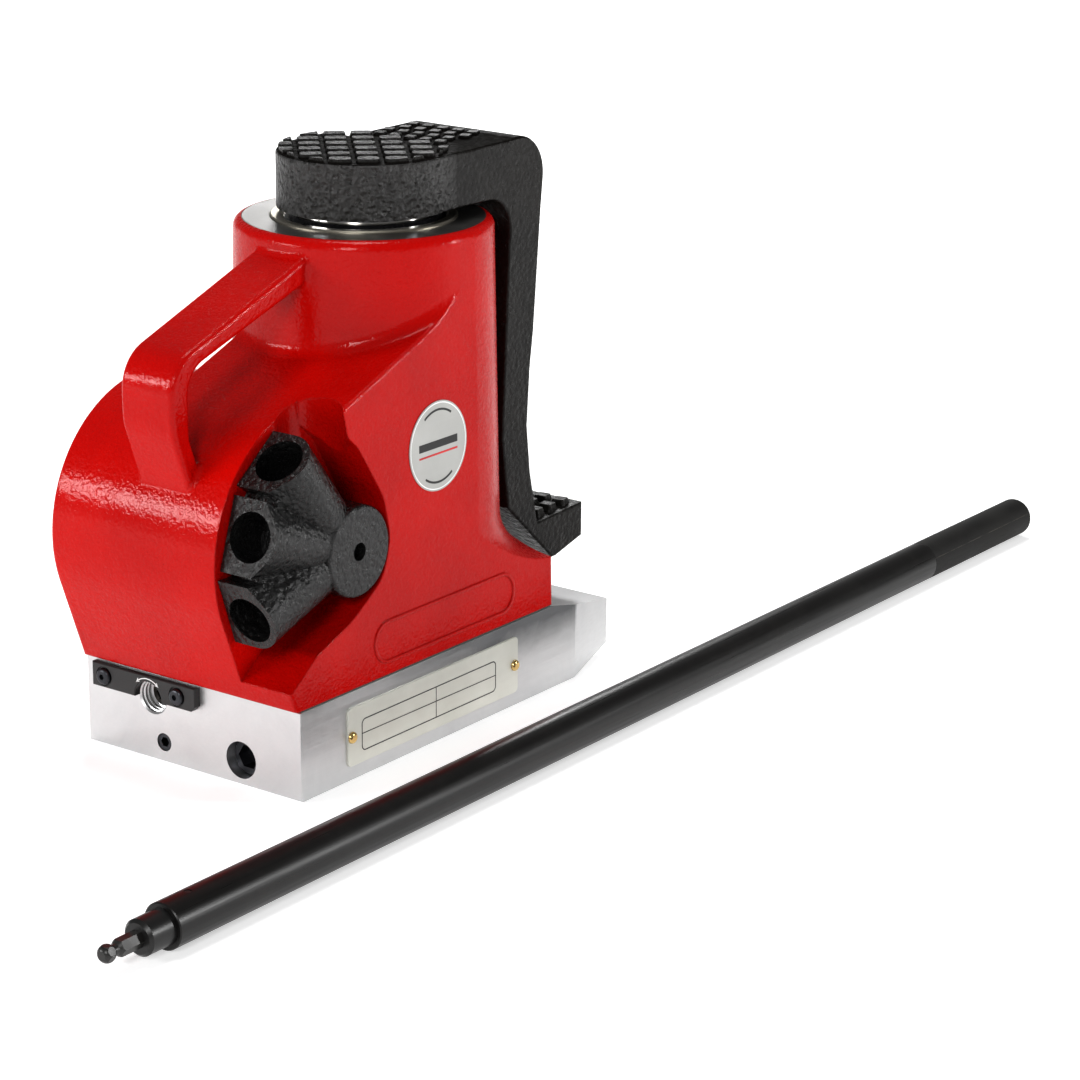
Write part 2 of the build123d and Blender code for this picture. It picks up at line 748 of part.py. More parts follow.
with BuildPart() as claw:
    # Arm and toe in one side profile.
    with BuildSketch(across(claw_half_width)):
        with BuildLine():
            Polyline((0, claw_head_top), (16, claw_head_top), (72, claw_arm_top))
            ThreePointArc((72, claw_arm_top), (94, 308), (100.5, 289))
            Polyline(
                (100.5, 289),
                (98.6, 272),
                (92.6, 203),
                (89.6, 182),
                (87.2, 148),
                (90.5, 120),
                (98, toe_root_top),
                (claw_tip_x, toe_tip_top),
            )
            Polyline((claw_tip_x, toe_tip_top), (claw_tip_x, 69.4), (116, 63), (112.5, 63), (69.5, 103))
            Polyline((69.5, 103), (63.4, 145), (69.2, 258))
            ThreePointArc((69.2, 258), (65.3, 276.5), (50, ram_shoulder))
            Polyline((50, ram_shoulder), (0, ram_shoulder), (0, claw_head_top))
        make_face()
    extrude(amount=2 * claw_half_width)
    arm_rims = claw.edges().filter_by(
        lambda e: abs(abs(e.center().Y) - claw_half_width) < 0.01
        and (e.center().X > 60 or e.center().Z > 310)
    )
    fillet(arm_rims, claw_rim_fillet)
    # Round head with a rounded rim.
    with BuildSketch(Plane.XZ):
        with BuildLine():
            Polyline(
                (claw_half_width, claw_head_top - claw_rim_fillet),
                (claw_half_width, ram_shoulder),
                (0, ram_shoulder),
                (0, claw_head_top),
                (claw_half_width - claw_rim_fillet, claw_head_top),
            )
            RadiusArc(
                (claw_half_width - claw_rim_fillet, claw_head_top),
                (claw_half_width, claw_head_top - claw_rim_fillet),
                claw_rim_fillet,
            )
        make_face()
    revolve(axis=Axis.Z)
    # Bevel along the far edge of the arm's top.
    with BuildSketch(Plane(origin=(24, 0, 0), x_dir=(0, 1, 0), z_dir=(1, 0, 0))):
        with BuildLine():
            Polyline(
                (26, claw_arm_top + 1),
                (48, 307),
                (48, claw_arm_top + 4),
                (26, claw_arm_top + 4),
                close=True,
            )
        make_face()
    extrude(amount=90, mode=Mode.SUBTRACT)
    # Tread ribs.
    add(head_tread.part)
    add(arm_tread.part)
    add(toe_tread.part)
    # Blind hole for the ram's spigot and a cross hole for the set screw.
    with BuildSketch(Plane.XY.offset(ram_shoulder)):
        Circle(ram_spigot_radius + running_gap)
    extrude(amount=ram_spigot_top - ram_shoulder + 1, mode=Mode.SUBTRACT)
    with BuildSketch(across(claw_half_width + 1)):
        with Locations((0, 292.5)):
            Circle(4.05)
    extrude(amount=claw_half_width - ram_spigot_radius + 2, mode=Mode.SUBTRACT)
claw.part.label = "claw"
export_step(claw.part, "parts/claw.step")

with BuildPart() as claw_set_screw:
    with BuildSketch(across(claw_half_width - 5)):
        with Locations((0, 292.5)):
            Circle(4.0)
    extrude(amount=claw_half_width - 5 - ram_spigot_radius + 1.2)
    with BuildSketch(across(claw_half_width - 5)):
        with Locations((0, 292.5)):
            RegularPolygon(2.3, 6)
    extrude(amount=4, mode=Mode.SUBTRACT)
claw_set_screw.part.label = "claw_set_screw"
export_step(claw_set_screw.part, "parts/claw_set_screw.step")

# ---------------------------------------------------------------- pump socket, shaft and crank
shaft_place = (pump_x, pump_z)
shaft_near_end = -63.0
key_half_width = 3.0
key_low = 8.5
key_high = 14.5
tube_back = socket_bore_y - socket_back


def flank_between(angle, reach, side, neighbour_angle):
    """Wedge beside a lever tube, from the tube's round to the bisector with its neighbour."""
    middle = radians((angle + neighbour_angle) / 2)
    flare = radians(socket_flare_angle)
    start = (socket_tube_radius * cos(flare), side * socket_tube_radius * sin(flare))
    run = 40.0
    with BuildPart() as flank:
        with BuildSketch(spoke_plane(angle, 0)):
            with BuildLine():
                Polyline(
                    (0, 0),
                    start,
                    (start[0] - run * sin(flare), start[1] + side * run * cos(flare)),
                    (tube_back, start[1] + side * run * cos(flare)),
                    (tube_back, 0),
                    close=True,
                )
            make_face()
        extrude(amount=reach)
        with BuildSketch(across(0)):
            with BuildLine():
                Polyline(
                    shaft_place,
                    (pump_x - 130 * cos(radians(angle)), pump_z + 130 * sin(radians(angle))),
                    (pump_x - 130 * cos(middle), pump_z + 130 * sin(middle)),
                    close=True,
                )
            make_face()
        extrude(amount=100, mode=Mode.INTERSECT)
    return flank.part


socket_flanks = []
for place, (tube_angle, tube_reach) in enumerate(socket_tubes):
    if place > 0:
        socket_flanks.append(flank_between(tube_angle, tube_reach, 1, socket_tubes[place - 1][0]))
    if place < len(socket_tubes) - 1:
        socket_flanks.append(flank_between(tube_angle, tube_reach, -1, socket_tubes[place + 1][0]))

with BuildPart() as pump_socket:
    with BuildSketch(across(socket_back)):
        with Locations(shaft_place):
            Circle(boss_radius)
    extrude(amount=socket_back - socket_face)
    fillet(pump_socket.faces().sort_by(Axis.Y)[0].edges(), 2.0)
    # Three lever tubes: rounded on the near side and square against the pocket's wall.
    for angle, reach in socket_tubes:
        with BuildSketch(spoke_plane(angle, 0)):
            Circle(socket_tube_radius)
            with Locations((tube_back / 2, 0)):
                Rectangle(-tube_back, 2 * socket_tube_radius)
            with Locations((tube_back + 50, 0)):
                Rectangle(100, 60, mode=Mode.INTERSECT)
        extrude(amount=reach)
    # Sloping flanks that join neighbouring tubes in a crease.
    for flank in socket_flanks:
        add(flank)
    # Slots between the mouths.
    for first, second in ((0, 1), (1, 2)):
        middle = (socket_tubes[first][0] + socket_tubes[second][0]) / 2
        with BuildSketch(spoke_plane(middle, 64)):
            Rectangle(60, 4.6)
        extrude(amount=30, mode=Mode.SUBTRACT)
    # Lever bores.
    for angle, reach in socket_tubes:
        with BuildSketch(spoke_plane(angle, socket_bore_start)):
            Circle(socket_bore_radius)
        extrude(amount=reach, mode=Mode.SUBTRACT)
    # Bore and keyway for the shaft, and the recess of the retaining screw.
    with BuildSketch(across(socket_back)):
        with Locations(shaft_place):
            Circle(shaft_radius + 0.02)
        with Locations((pump_x, pump_z + key_high / 2)):
            Rectangle(2 * key_half_width + 0.04, key_high + 0.1)
    extrude(amount=socket_back - shaft_near_end, mode=Mode.SUBTRACT)
    with BuildSketch(across(shaft_near_end)):
        with Locations(shaft_place):
            Circle(3.2)
    extrude(amount=20, mode=Mode.SUBTRACT)
    with BuildSketch(across(-66)):
        with Locations(shaft_place):
            Circle(4.9)
    extrude(amount=20, mode=Mode.SUBTRACT)
pump_socket.part.label = "pump_socket"
export_step(pump_socket.part, "parts/pump_socket.step")

with BuildPart() as pump_shaft:
    with BuildSketch(across(shaft_far_end)):
        with Locations(shaft_place):
            Circle(shaft_radius)
    extrude(amount=shaft_far_end - shaft_near_end)
    chamfer(pump_shaft.edges().filter_by(GeomType.CIRCLE), 0.8)
    for keyway_start, keyway_end in ((-43, -62), (-10.5, -21.5)):
        with BuildSketch(across(keyway_start)):
            with Locations((pump_x, pump_z + (key_low + 20) / 2)):
                Rectangle(2 * key_half_width + 0.04, 20 - key_low)
        extrude(amount=keyway_start - keyway_end, mode=Mode.SUBTRACT)
    with BuildSketch(across(shaft_near_end + 16)):
        with Locations(shaft_place):
            Circle(3.02)
    extrude(amount=16, mode=Mode.SUBTRACT)
pump_shaft.part.label = "pump_shaft"
export_step(pump_shaft.part, "parts/pump_shaft.step")

with BuildPart() as socket_screw:
    with BuildSketch(across(-66)):
        with Locations(shaft_place):
            Circle(4.75)
    extrude(amount=3.5)
    fillet(socket_screw.edges().sort_by(Axis.Y)[0], 1.0)
    with BuildSketch(across(-69.5)):
        with Locations(shaft_place):
            RegularPolygon(2.3, 6)
    extrude(amount=-2.2, mode=Mode.SUBTRACT)
    with BuildSketch(across(-66)):
        with Locations(shaft_place):
            Circle(3.0)
    extrude(amount=-16)
socket_screw.part.label = "socket_screw"
export_step(socket_screw.part, "parts/socket_screw.step")

with BuildPart() as socket_key:
    with BuildSketch(across(-43.5)):
        with Locations((pump_x, pump_z + (key_low + key_high) / 2)):
            Rectangle(2 * key_half_width, key_high - key_low)
    extrude(amount=18)
socket_key.part.label = "socket_key"
export_step(socket_key.part, "parts/socket_key.step")

with BuildPart() as shaft_seal:
    with BuildSketch(across(pocket_floor + seal_depth - 0.1)):
        with Locations(shaft_place):
            Circle(seal_radius - 0.02)
            Circle(shaft_radius + running_gap, mode=Mode.SUBTRACT)
    extrude(amount=seal_depth - 0.2)
shaft_seal.part.label = "shaft_seal"
export_step(shaft_seal.part, "parts/shaft_seal.step")

with BuildPart() as shaft_bush_near:
    with BuildSketch(across(cavity_near - 0.1)):
        with Locations(shaft_place):
            Circle(bush_radius - 0.02)
            Circle(shaft_radius + running_gap, mode=Mode.SUBTRACT)
    extrude(amount=cavity_near - pocket_floor - seal_depth - 0.2)
shaft_bush_near.part.label = "shaft_bush_near"
export_step(shaft_bush_near.part, "parts/shaft_bush_near.step")

with BuildPart() as shaft_bush_far:
    with BuildSketch(across(shaft_far_end + 0.9)):
        with Locations(shaft_place):
            Circle(bush_radius - 0.02)
            Circle(shaft_radius + running_gap, mode=Mode.SUBTRACT)
    extrude(amount=shaft_far_end - cavity_far + 0.8)
shaft_bush_far.part.label = "shaft_bush_far"
export_step(shaft_bush_far.part, "parts/shaft_bush_far.step")

crank_near = -22.0
crank_far = -10.0
roller_near = -8.0
roller_far = 6.0
roller_radius = 6.9
crank_pin_radius = 4.0
with BuildPart() as crank_arm:
    with BuildSketch(across(crank_far)):
        with Locations(shaft_place):
            Circle(20)
        with Locations((plunger_x, pump_z)):
            Circle(8.5)
        with Locations((pump_x - crank_throw / 2, pump_z)):
            Rectangle(crank_throw, 17)
    extrude(amount=crank_far - crank_near)
    fillet(crank_arm.edges().filter_by(Axis.Y), 3)
    arm_faces = crank_arm.faces().sort_by(Axis.Y)
    chamfer(arm_faces[0].edges() + arm_faces[-1].edges(), 0.6)
    with BuildSketch(across(crank_far)):
        with Locations(shaft_place):
            Circle(shaft_radius + 0.02)
        with Locations((pump_x, pump_z + key_high / 2)):
            Rectangle(2 * key_half_width + 0.04, key_high + 0.1)
        with Locations((plunger_x, pump_z)):
            Circle(crank_pin_radius + 0.02)
    extrude(amount=crank_far - crank_near, mode=Mode.SUBTRACT)
crank_arm.part.label = "crank_arm"
export_step(crank_arm.part, "parts/crank_arm.step")

with BuildPart() as crank_key:
    with BuildSketch(across(-11)):
        with Locations((pump_x, pump_z + (key_low + key_high) / 2)):
            Rectangle(2 * key_half_width, key_high - key_low)
    extrude(amount=10)
crank_key.part.label = "crank_key"
export_step(crank_key.part, "parts/crank_key.step")

with BuildPart() as crank_pin:
    with BuildSketch(across(roller_far + 2)):
        with Locations((plunger_x, pump_z)):
            Circle(crank_pin_radius)
    extrude(amount=roller_far + 2 - crank_near)
    with BuildSketch(across(roller_far + 2)):
        with Locations((plunger_x, pump_z)):
            Circle(5.4)
    extrude(amount=1.7)
crank_pin.part.label = "crank_pin"
export_step(crank_pin.part, "parts/crank_pin.step")

with BuildPart() as crank_roller:
    with BuildSketch(across(roller_far)):
        with Locations((plunger_x, pump_z)):
            Circle(roller_radius)
            Circle(crank_pin_radius + 0.05, mode=Mode.SUBTRACT)
    extrude(amount=roller_far - roller_near)
crank_roller.part.label = "crank_roller"
export_step(crank_roller.part, "parts/crank_roller.step")

# ---------------------------------------------------------------- pump plunger, barrel and valves
plunger_place = (plunger_x, plunger_y)
yoke_low = 111.0
yoke_high = 138.0
yoke_slot_half = 7.3
with BuildPart() as pump_plunger:
    with BuildSketch(Plane.XY.offset(70)):
        with Locations(plunger_place):
            Circle(plunger_radius)
    extrude(amount=yoke_low - 70 + 2)
    chamfer(pump_plunger.edges().filter_by(GeomType.CIRCLE).sort_by(Axis.Z)[0], 1.0)
    with BuildSketch(across(roller_far - 0.4)):
        with Locations((plunger_x - 1, (yoke_low + yoke_high) / 2)):
            RectangleRounded(24, yoke_high - yoke_low, 3)
    extrude(amount=roller_far - roller_near - 0.8)
    # Slot for the crank's roller, open towards the shaft.
    with BuildSketch(across(roller_far)):
        with Locations((plunger_x + 6, pump_z)):
            Rectangle(30, 2 * yoke_slot_half)
    extrude(amount=roller_far - roller_near, mode=Mode.SUBTRACT)
pump_plunger.part.label = "pump_plunger"
export_step(pump_plunger.part, "parts/pump_plunger.step")

gland_seat = 87.0
gland_bore = 11.0
with BuildPart() as pump_barrel:
    with BuildSketch(Plane.XY.offset(base_height)):
        with BuildLine():
            flange_front = opening_front + 1
            Polyline(
                (flange_front, plunger_y - 17),
                (flange_end, plunger_y - 17),
                (flange_end, plunger_y + 17),
                (flange_front, plunger_y + 17),
                close=True,
            )
        make_face()
    extrude(amount=flange_top - base_height)
    fillet(pump_barrel.edges().filter_by(Axis.Z).sort_by(Axis.X)[-2:], 4)
    with BuildSketch(Plane.XY.offset(flange_top)):
        with Locations(plunger_place):
            Circle(barrel_radius)
    extrude(amount=barrel_top - flange_top)
    for bore_radius, bore_floor in (
        (gland_bore, gland_seat),
        (plunger_radius + running_gap, barrel_floor),
        (2.5, base_height),
    ):
        with BuildSketch(Plane.XY.offset(barrel_top)):
            with Locations(plunger_place):
                Circle(bore_radius)
        extrude(amount=bore_floor - barrel_top, mode=Mode.SUBTRACT)
    # Suction valve chamber, its inlet and the passage to the plunger's bore.
    with BuildSketch(Plane.XY.offset(base_height)):
        with Locations(suction_place):
            Circle(4.0)
    extrude(amount=7.4, mode=Mode.SUBTRACT)
    with BuildSketch(Plane.XY.offset(base_height)):
        with Locations(suction_place):
            Circle(2.0)
    extrude(amount=flange_top - base_height, mode=Mode.SUBTRACT)
    with BuildSketch(Plane(origin=(suction_place[0], plunger_y, 53.6), x_dir=(0, 1, 0), z_dir=(-1, 0, 0))):
        Circle(1.5)
    extrude(amount=suction_place[0] - plunger_x, mode=Mode.SUBTRACT)
    # Clearance holes for the flange screws.
    with BuildSketch(Plane.XY.offset(base_height)):
        with Locations(barrel_screw_places):
            Circle(2.7)
    extrude(amount=flange_top - base_height, mode=Mode.SUBTRACT)
pump_barrel.part.label = "pump_barrel"
export_step(pump_barrel.part, "parts/pump_barrel.step")

with BuildPart() as barrel_screws:
    with BuildSketch(Plane.XY.offset(flange_top)):
        with Locations(barrel_screw_places):
            Circle(4.25)
    extrude(amount=5)
    with BuildSketch(Plane.XY.offset(flange_top + 5)):
        with Locations(barrel_screw_places):
            RegularPolygon(2.3, 6)
    extrude(amount=-2.5, mode=Mode.SUBTRACT)
    with BuildSketch(Plane.XY.offset(flange_top)):
        with Locations(barrel_screw_places):
            Circle(2.5)
    extrude(amount=-22)
barrel_screws.part.label = "barrel_screws"
export_step(barrel_screws.part, "parts/barrel_screws.step")

with BuildPart() as plunger_seal:
    with BuildSketch(Plane.XY.offset(gland_seat + 0.1)):
        with Locations(plunger_place):
            Circle(gland_bore - 0.05)
            Circle(plunger_radius + running_gap, mode=Mode.SUBTRACT)
    extrude(amount=4.8)
plunger_seal.part.label = "plunger_seal"
export_step(plunger_seal.part, "parts/plunger_seal.step")

with BuildPart() as plunger_gland:
    with BuildSketch(Plane.XY.offset(gland_seat + 5)):
        with Locations(plunger_place):
            Circle(gland_bore - 0.02)
            Circle(plunger_radius + running_gap, mode=Mode.SUBTRACT)
    extrude(amount=barrel_top - gland_seat - 5)
    with BuildSketch(Plane.XY.offset(barrel_top)):
        with Locations(plunger_place):
            Circle(13)
            Circle(plunger_radius + running_gap, mode=Mode.SUBTRACT)
    extrude(amount=3)
plunger_gland.part.label = "plunger_gland"
export_step(plunger_gland.part, "parts/plunger_gland.step")


def valve_ball(centre, radius):
    """Steel ball of a check or relief valve."""
    with BuildPart(Plane(origin=centre)) as ball:
        Sphere(radius)
    return ball.part


def valve_spring(start, direction, length, coil_radius, wire_radius, turns):
    """Coil spring from a start point along a direction."""
    with BuildPart() as spring:
        with BuildLine():
            path = Helix(length / turns, length, coil_radius)
        with BuildSketch(Plane(origin=path @ 0, z_dir=path % 0)):
            Circle(wire_radius)
        sweep(path=path, is_frenet=True)
    return spring.part.moved(Plane(origin=start, z_dir=direction).location)


ball_radius = 3.4
suction_ball = valve_ball((*suction_place, base_height + 7.4 - (ball_radius**2 - 4.0) ** 0.5), ball_radius)
suction_ball.label = "suction_ball"
export_step(suction_ball, "parts/suction_ball.step")

delivery_ball = valve_ball((*plunger_place, base_height - (ball_radius**2 - 6.25) ** 0.5), ball_radius)
delivery_ball.label = "delivery_ball"
export_step(delivery_ball, "parts/delivery_ball.step")

delivery_spring = valve_spring((*plunger_place, 30.2), (0, 0, 1), 13.0, 3.0, 0.4, 6)
delivery_spring.label = "delivery_spring"
export_step(delivery_spring, "parts/delivery_spring.step")

relief_seat = base_front + 56
relief_ball = valve_ball((relief_seat - (ball_radius**2 - 6.25) ** 0.5, plug_y, plug_z), ball_radius)
relief_ball.label = "relief_ball"
export_step(relief_ball, "parts/relief_ball.step")

relief_spring = valve_spring((-127.5, plug_y, plug_z), (1, 0, 0), 29.8, 4.0, 0.7, 10)
relief_spring.label = "relief_spring"
export_step(relief_spring, "parts/relief_spring.step")

with BuildPart() as suction_strainer:
    with BuildSketch(Plane.XY.offset(flange_top)):
        with Locations(suction_place):
            Circle(6)
            Circle(4.5, mode=Mode.SUBTRACT)
    extrude(amount=4)
    with BuildSketch(Plane.XY.offset(flange_top + 4)):
        with Locations(suction_place):
            Circle(6)
            with GridLocations(2.4, 2.4, 4, 4):
                Circle(0.8, mode=Mode.SUBTRACT)
    extrude(amount=0.8)
suction_strainer.part.label = "suction_strainer"
export_step(suction_strainer.part, "parts/suction_strainer.step")

# ---------------------------------------------------------------- release valve, plugs and cover plate
valve_end = -139.4
valve_groove = -127.0
with BuildPart() as release_valve:
    with BuildSketch(Plane(origin=(0, valve_y, valve_z), x_dir=(1, 0, 0), z_dir=(0, -1, 0))):
        with BuildLine():
            Polyline(
                (valve_end, 0),
                (valve_end, 6.9),
                (valve_end + 0.6, 7.45),
                (valve_groove - 1.4, 7.45),
                (valve_groove - 1.4, 6.2),
                (valve_groove + 1.4, 6.2),
                (valve_groove + 1.4, 7.45),
                (-121.2, 7.45),
                (-121.2, 4.95),
                (-96.5, 4.95),
                (-92.6, 1.0),
                (-92.6, 0),
                close=True,
            )
        make_face()
    revolve(axis=Axis((0, valve_y, valve_z), (1, 0, 0)))
    with BuildSketch(on_front(valve_end)):
        with Locations((-valve_y, valve_z)):
            RegularPolygon(4.62, 6)
    extrude(amount=-9, mode=Mode.SUBTRACT)
release_valve.part.label = "release_valve"
export_step(release_valve.part, "parts/release_valve.step")

with BuildPart() as valve_ring_seal:
    with BuildSketch(Plane(origin=(0, valve_y, valve_z), x_dir=(1, 0, 0), z_dir=(0, -1, 0))):
        with Locations((valve_groove, 6.84)):
            Circle(0.6)
    revolve(axis=Axis((0, valve_y, valve_z), (1, 0, 0)))
valve_ring_seal.part.label = "valve_ring_seal"
export_step(valve_ring_seal.part, "parts/valve_ring_seal.step")

cover_plate_face = -151.5
with BuildPart() as valve_cover_plate:
    with BuildSketch(on_front(base_front)):
        with BuildLine():
            Polyline((6, 38), (6, 48.4), (-68, 48.4), (-68, 35), (3, 35), close=True)
        make_face()
        with Locations((-valve_y, valve_z)):
            Circle(9.6, mode=Mode.SUBTRACT)
        with Locations([(-y, z) for y, z in cover_screw_places]):
            Circle(2.75, mode=Mode.SUBTRACT)
    extrude(amount=base_front - cover_plate_face)
    chamfer(valve_cover_plate.faces().sort_by(Axis.X)[0].outer_wire().edges(), 0.5)
    with BuildSketch(on_front(cover_plate_face + 0.8)):
        with Locations([(-y, z) for y, z in cover_screw_places]):
            Circle(5.6)
    extrude(amount=2, mode=Mode.SUBTRACT)
valve_cover_plate.part.label = "valve_cover_plate"
export_step(valve_cover_plate.part, "parts/valve_cover_plate.step")

with BuildPart() as cover_plate_screws:
    screw_seats = [(-y, z) for y, z in cover_screw_places]
    with BuildSketch(on_front(cover_plate_face + 0.8)):
        with Locations(screw_seats):
            Circle(4.75)
    extrude(amount=2.75)
    fillet(cover_plate_screws.faces().sort_by(Axis.X)[:2].edges(), 2.0)
    with BuildSketch(on_front(cover_plate_face - 1.95)):
        with Locations(screw_seats):
            RegularPolygon(1.73, 6)
    extrude(amount=-1.8, mode=Mode.SUBTRACT)
    with BuildSketch(on_front(cover_plate_face + 0.8)):
        with Locations(screw_seats):
            Circle(2.5)
    extrude(amount=-14)
cover_plate_screws.part.label = "cover_plate_screws"
export_step(cover_plate_screws.part, "parts/cover_plate_screws.step")

with BuildPart() as hex_plug:
    with BuildSketch(on_front(-128.5)):
        with Locations((-plug_y, plug_z)):
            Circle(10.25)
    extrude(amount=12.5)
    chamfer(hex_plug.edges().filter_by(GeomType.CIRCLE), 0.8)
    with BuildSketch(on_front(-141)):
        with Locations((-plug_y, plug_z)):
            RegularPolygon(6.93, 6)
    extrude(amount=-7, mode=Mode.SUBTRACT)
hex_plug.part.label = "hex_plug"
export_step(hex_plug.part, "parts/hex_plug.step")

with BuildPart() as grub_plug:
    with BuildSketch(on_front(-135.5)):
        with Locations((-grub_y, grub_z)):
            Circle(5.0)
    extrude(amount=10.8)
    chamfer(grub_plug.edges().filter_by(GeomType.CIRCLE), 0.5)
    with BuildSketch(on_front(-146.3)):
        with Locations((-grub_y, grub_z)):
            RegularPolygon(2.9, 6)
    extrude(amount=-5, mode=Mode.SUBTRACT)
grub_plug.part.label = "grub_plug"
export_step(grub_plug.part, "parts/grub_plug.step")

# ---------------------------------------------------------------- screws, plates and filler plug
bolt_head_low = 2.0
bolt_head_high = 10.0
with BuildPart() as base_bolts:
    with BuildSketch(Plane.XY.offset(bolt_head_low)):
        with Locations(bolt_places):
            Circle(bolt_head_radius)
    extrude(amount=bolt_head_high - bolt_head_low)
    with BuildSketch(Plane.XY.offset(bolt_head_low)):
        with Locations(bolt_places):
            RegularPolygon(3.46, 6)
    extrude(amount=4, mode=Mode.SUBTRACT)
    with BuildSketch(Plane.XY.offset(bolt_head_high)):
        with Locations(bolt_places):
            Circle(bolt_radius)
    extrude(amount=body_floor + bolt_engagement - bolt_head_high)
base_bolts.part.label = "base_bolts"
export_step(base_bolts.part, "parts/base_bolts.step")

plate_thickness = 1.2
with BuildPart() as data_plate:
    with BuildSketch(side_plane):
        with Locations(((plate_left + plate_right) / 2, (plate_bottom + plate_top) / 2)):
            RectangleRounded(plate_right - plate_left, plate_top - plate_bottom, 3)
        with Locations(plate_screw_places):
            Circle(1.7, mode=Mode.SUBTRACT)
    extrude(amount=plate_thickness)
    chamfer(data_plate.faces().sort_by(Axis.Y)[0].outer_wire().edges(), 0.3)
data_plate.part.label = "data_plate"
export_step(data_plate.part, "parts/data_plate.step")

with BuildPart() as data_plate_screws:
    with BuildSketch(side_plane.offset(plate_thickness)):
        with Locations(plate_screw_places):
            Circle(3.2)
    extrude(amount=1.8)
    fillet(data_plate_screws.faces().sort_by(Axis.Y)[:2].edges(), 1.5)
    with BuildSketch(side_plane.offset(plate_thickness)):
        with Locations(plate_screw_places):
            Circle(1.55)
    extrude(amount=-8)
data_plate_screws.part.label = "data_plate_screws"
export_step(data_plate_screws.part, "parts/data_plate_screws.step")

with BuildPart() as badge_disc:
    with BuildSketch(casting_side):
        with Locations((-28.6, 166.6)):
            Circle(24.75)
    extrude(amount=0.5)
badge_disc.part.label = "badge_disc"
export_step(badge_disc.part, "parts/badge_disc.step")

with BuildPart() as filler_washer:
    with BuildSketch(across(filler_seat + 1.2)):
        with Locations(filler_place):
            Circle(10.4)
            Circle(filler_radius + 0.1, mode=Mode.SUBTRACT)
    extrude(amount=1.2)
filler_washer.part.label = "filler_washer"
export_step(filler_washer.part, "parts/filler_washer.step")

with BuildPart() as filler_plug:
    with BuildSketch(across(filler_seat + 6.2)):
        with Locations(filler_place):
            RegularPolygon(9.8, 6)
    extrude(amount=5)
    with BuildSketch(across(filler_seat + 1.2)):
        with Locations(filler_place):
            Circle(filler_radius - 0.05)
    extrude(amount=10)
filler_plug.part.label = "filler_plug"
export_step(filler_plug.part, "parts/filler_plug.step")

# ---------------------------------------------------------------- pumping lever, lying beside the jack
tube_bore = 9.4
sleeve_radius = 10.2
sleeve_end = 497.0
key_circle = 4.62
pin_x = -309.0


def across_lever(x):
    """Plane across the lever at X, whose extrusions run towards +X."""
    return Plane(origin=(x, lever_y, lever_radius), x_dir=(0, 1, 0), z_dir=(1, 0, 0))


with BuildPart() as lever_tube:
    with BuildSketch(across_lever(lever_start)):
        Circle(lever_radius)
    extrude(amount=grip_start - lever_start)
    chamfer(lever_tube.faces().sort_by(Axis.X)[0].edges(), 0.6)
    with BuildSketch(across_lever(grip_start)):
        Circle(sleeve_radius)
    extrude(amount=sleeve_end - grip_start)
    with BuildSketch(across_lever(lever_start)):
        Circle(tube_bore)
    extrude(amount=sleeve_end - lever_start, mode=Mode.SUBTRACT)
    with BuildSketch(Plane(origin=(pin_x, lever_y, 0), x_dir=(1, 0, 0), z_dir=(0, 0, 1))):
        Circle(2.02)
    extrude(amount=2 * lever_radius, mode=Mode.SUBTRACT)
lever_tube.part.label = "lever_tube"
export_step(lever_tube.part, "parts/lever_tube.step")

with BuildPart() as lever_grip:
    with BuildSketch(across_lever(grip_start)):
        Circle(lever_radius)
    extrude(amount=grip_end - grip_start)
    fillet(lever_grip.faces().sort_by(Axis.X)[-1].edges(), 4.5)
    fillet(lever_grip.faces().sort_by(Axis.X)[0].edges(), 0.8)
    with BuildSketch(across_lever(grip_start)):
        Circle(sleeve_radius + 0.02)
    extrude(amount=sleeve_end - grip_start + 0.1, mode=Mode.SUBTRACT)
lever_grip.part.label = "lever_grip"
export_step(lever_grip.part, "parts/lever_grip.step")

spigot_start = -344.0
with BuildPart() as lever_spigot:
    with BuildSketch(across_lever(spigot_start)):
        Circle(tube_bore - 0.05)
    extrude(amount=48)
    chamfer(lever_spigot.faces().sort_by(Axis.X)[0].edges(), 1.6)
    with BuildSketch(across_lever(spigot_start)):
        RegularPolygon(key_circle + 0.05, 6)
    extrude(amount=28, mode=Mode.SUBTRACT)
    with BuildSketch(Plane(origin=(pin_x, lever_y, 0), x_dir=(1, 0, 0), z_dir=(0, 0, 1))):
        Circle(2.02)
    extrude(amount=2 * lever_radius, mode=Mode.SUBTRACT)
lever_spigot.part.label = "lever_spigot"
export_step(lever_spigot.part, "parts/lever_spigot.step")

key_tip = -368.0
with BuildPart() as lever_hex_key:
    with BuildSketch(across_lever(key_tip)):
        RegularPolygon(key_circle, 6)
    extrude(amount=spigot_start + 27 - key_tip)
    # Rounded tip and neck of the ball end.
    with BuildSketch(Plane(origin=(0, lever_y, lever_radius), x_dir=(1, 0, 0), z_dir=(0, -1, 0))):
        with BuildLine():
            Polyline((key_tip, 0), (key_tip, 2.4))
            ThreePointArc((key_tip, 2.4), (key_tip + 3.4, key_circle), (key_tip + 7, 2.9))
            Polyline(
                (key_tip + 7, 2.9),
                (key_tip + 9.5, 2.9),
                (key_tip + 12, key_circle + 0.5),
                (spigot_start + 30, key_circle + 0.5),
                (spigot_start + 30, 0),
                (key_tip, 0),
            )
        make_face()
    revolve(axis=Axis((0, lever_y, lever_radius), (1, 0, 0)), mode=Mode.INTERSECT)
lever_hex_key.part.label = "lever_hex_key"
export_step(lever_hex_key.part, "parts/lever_hex_key.step")

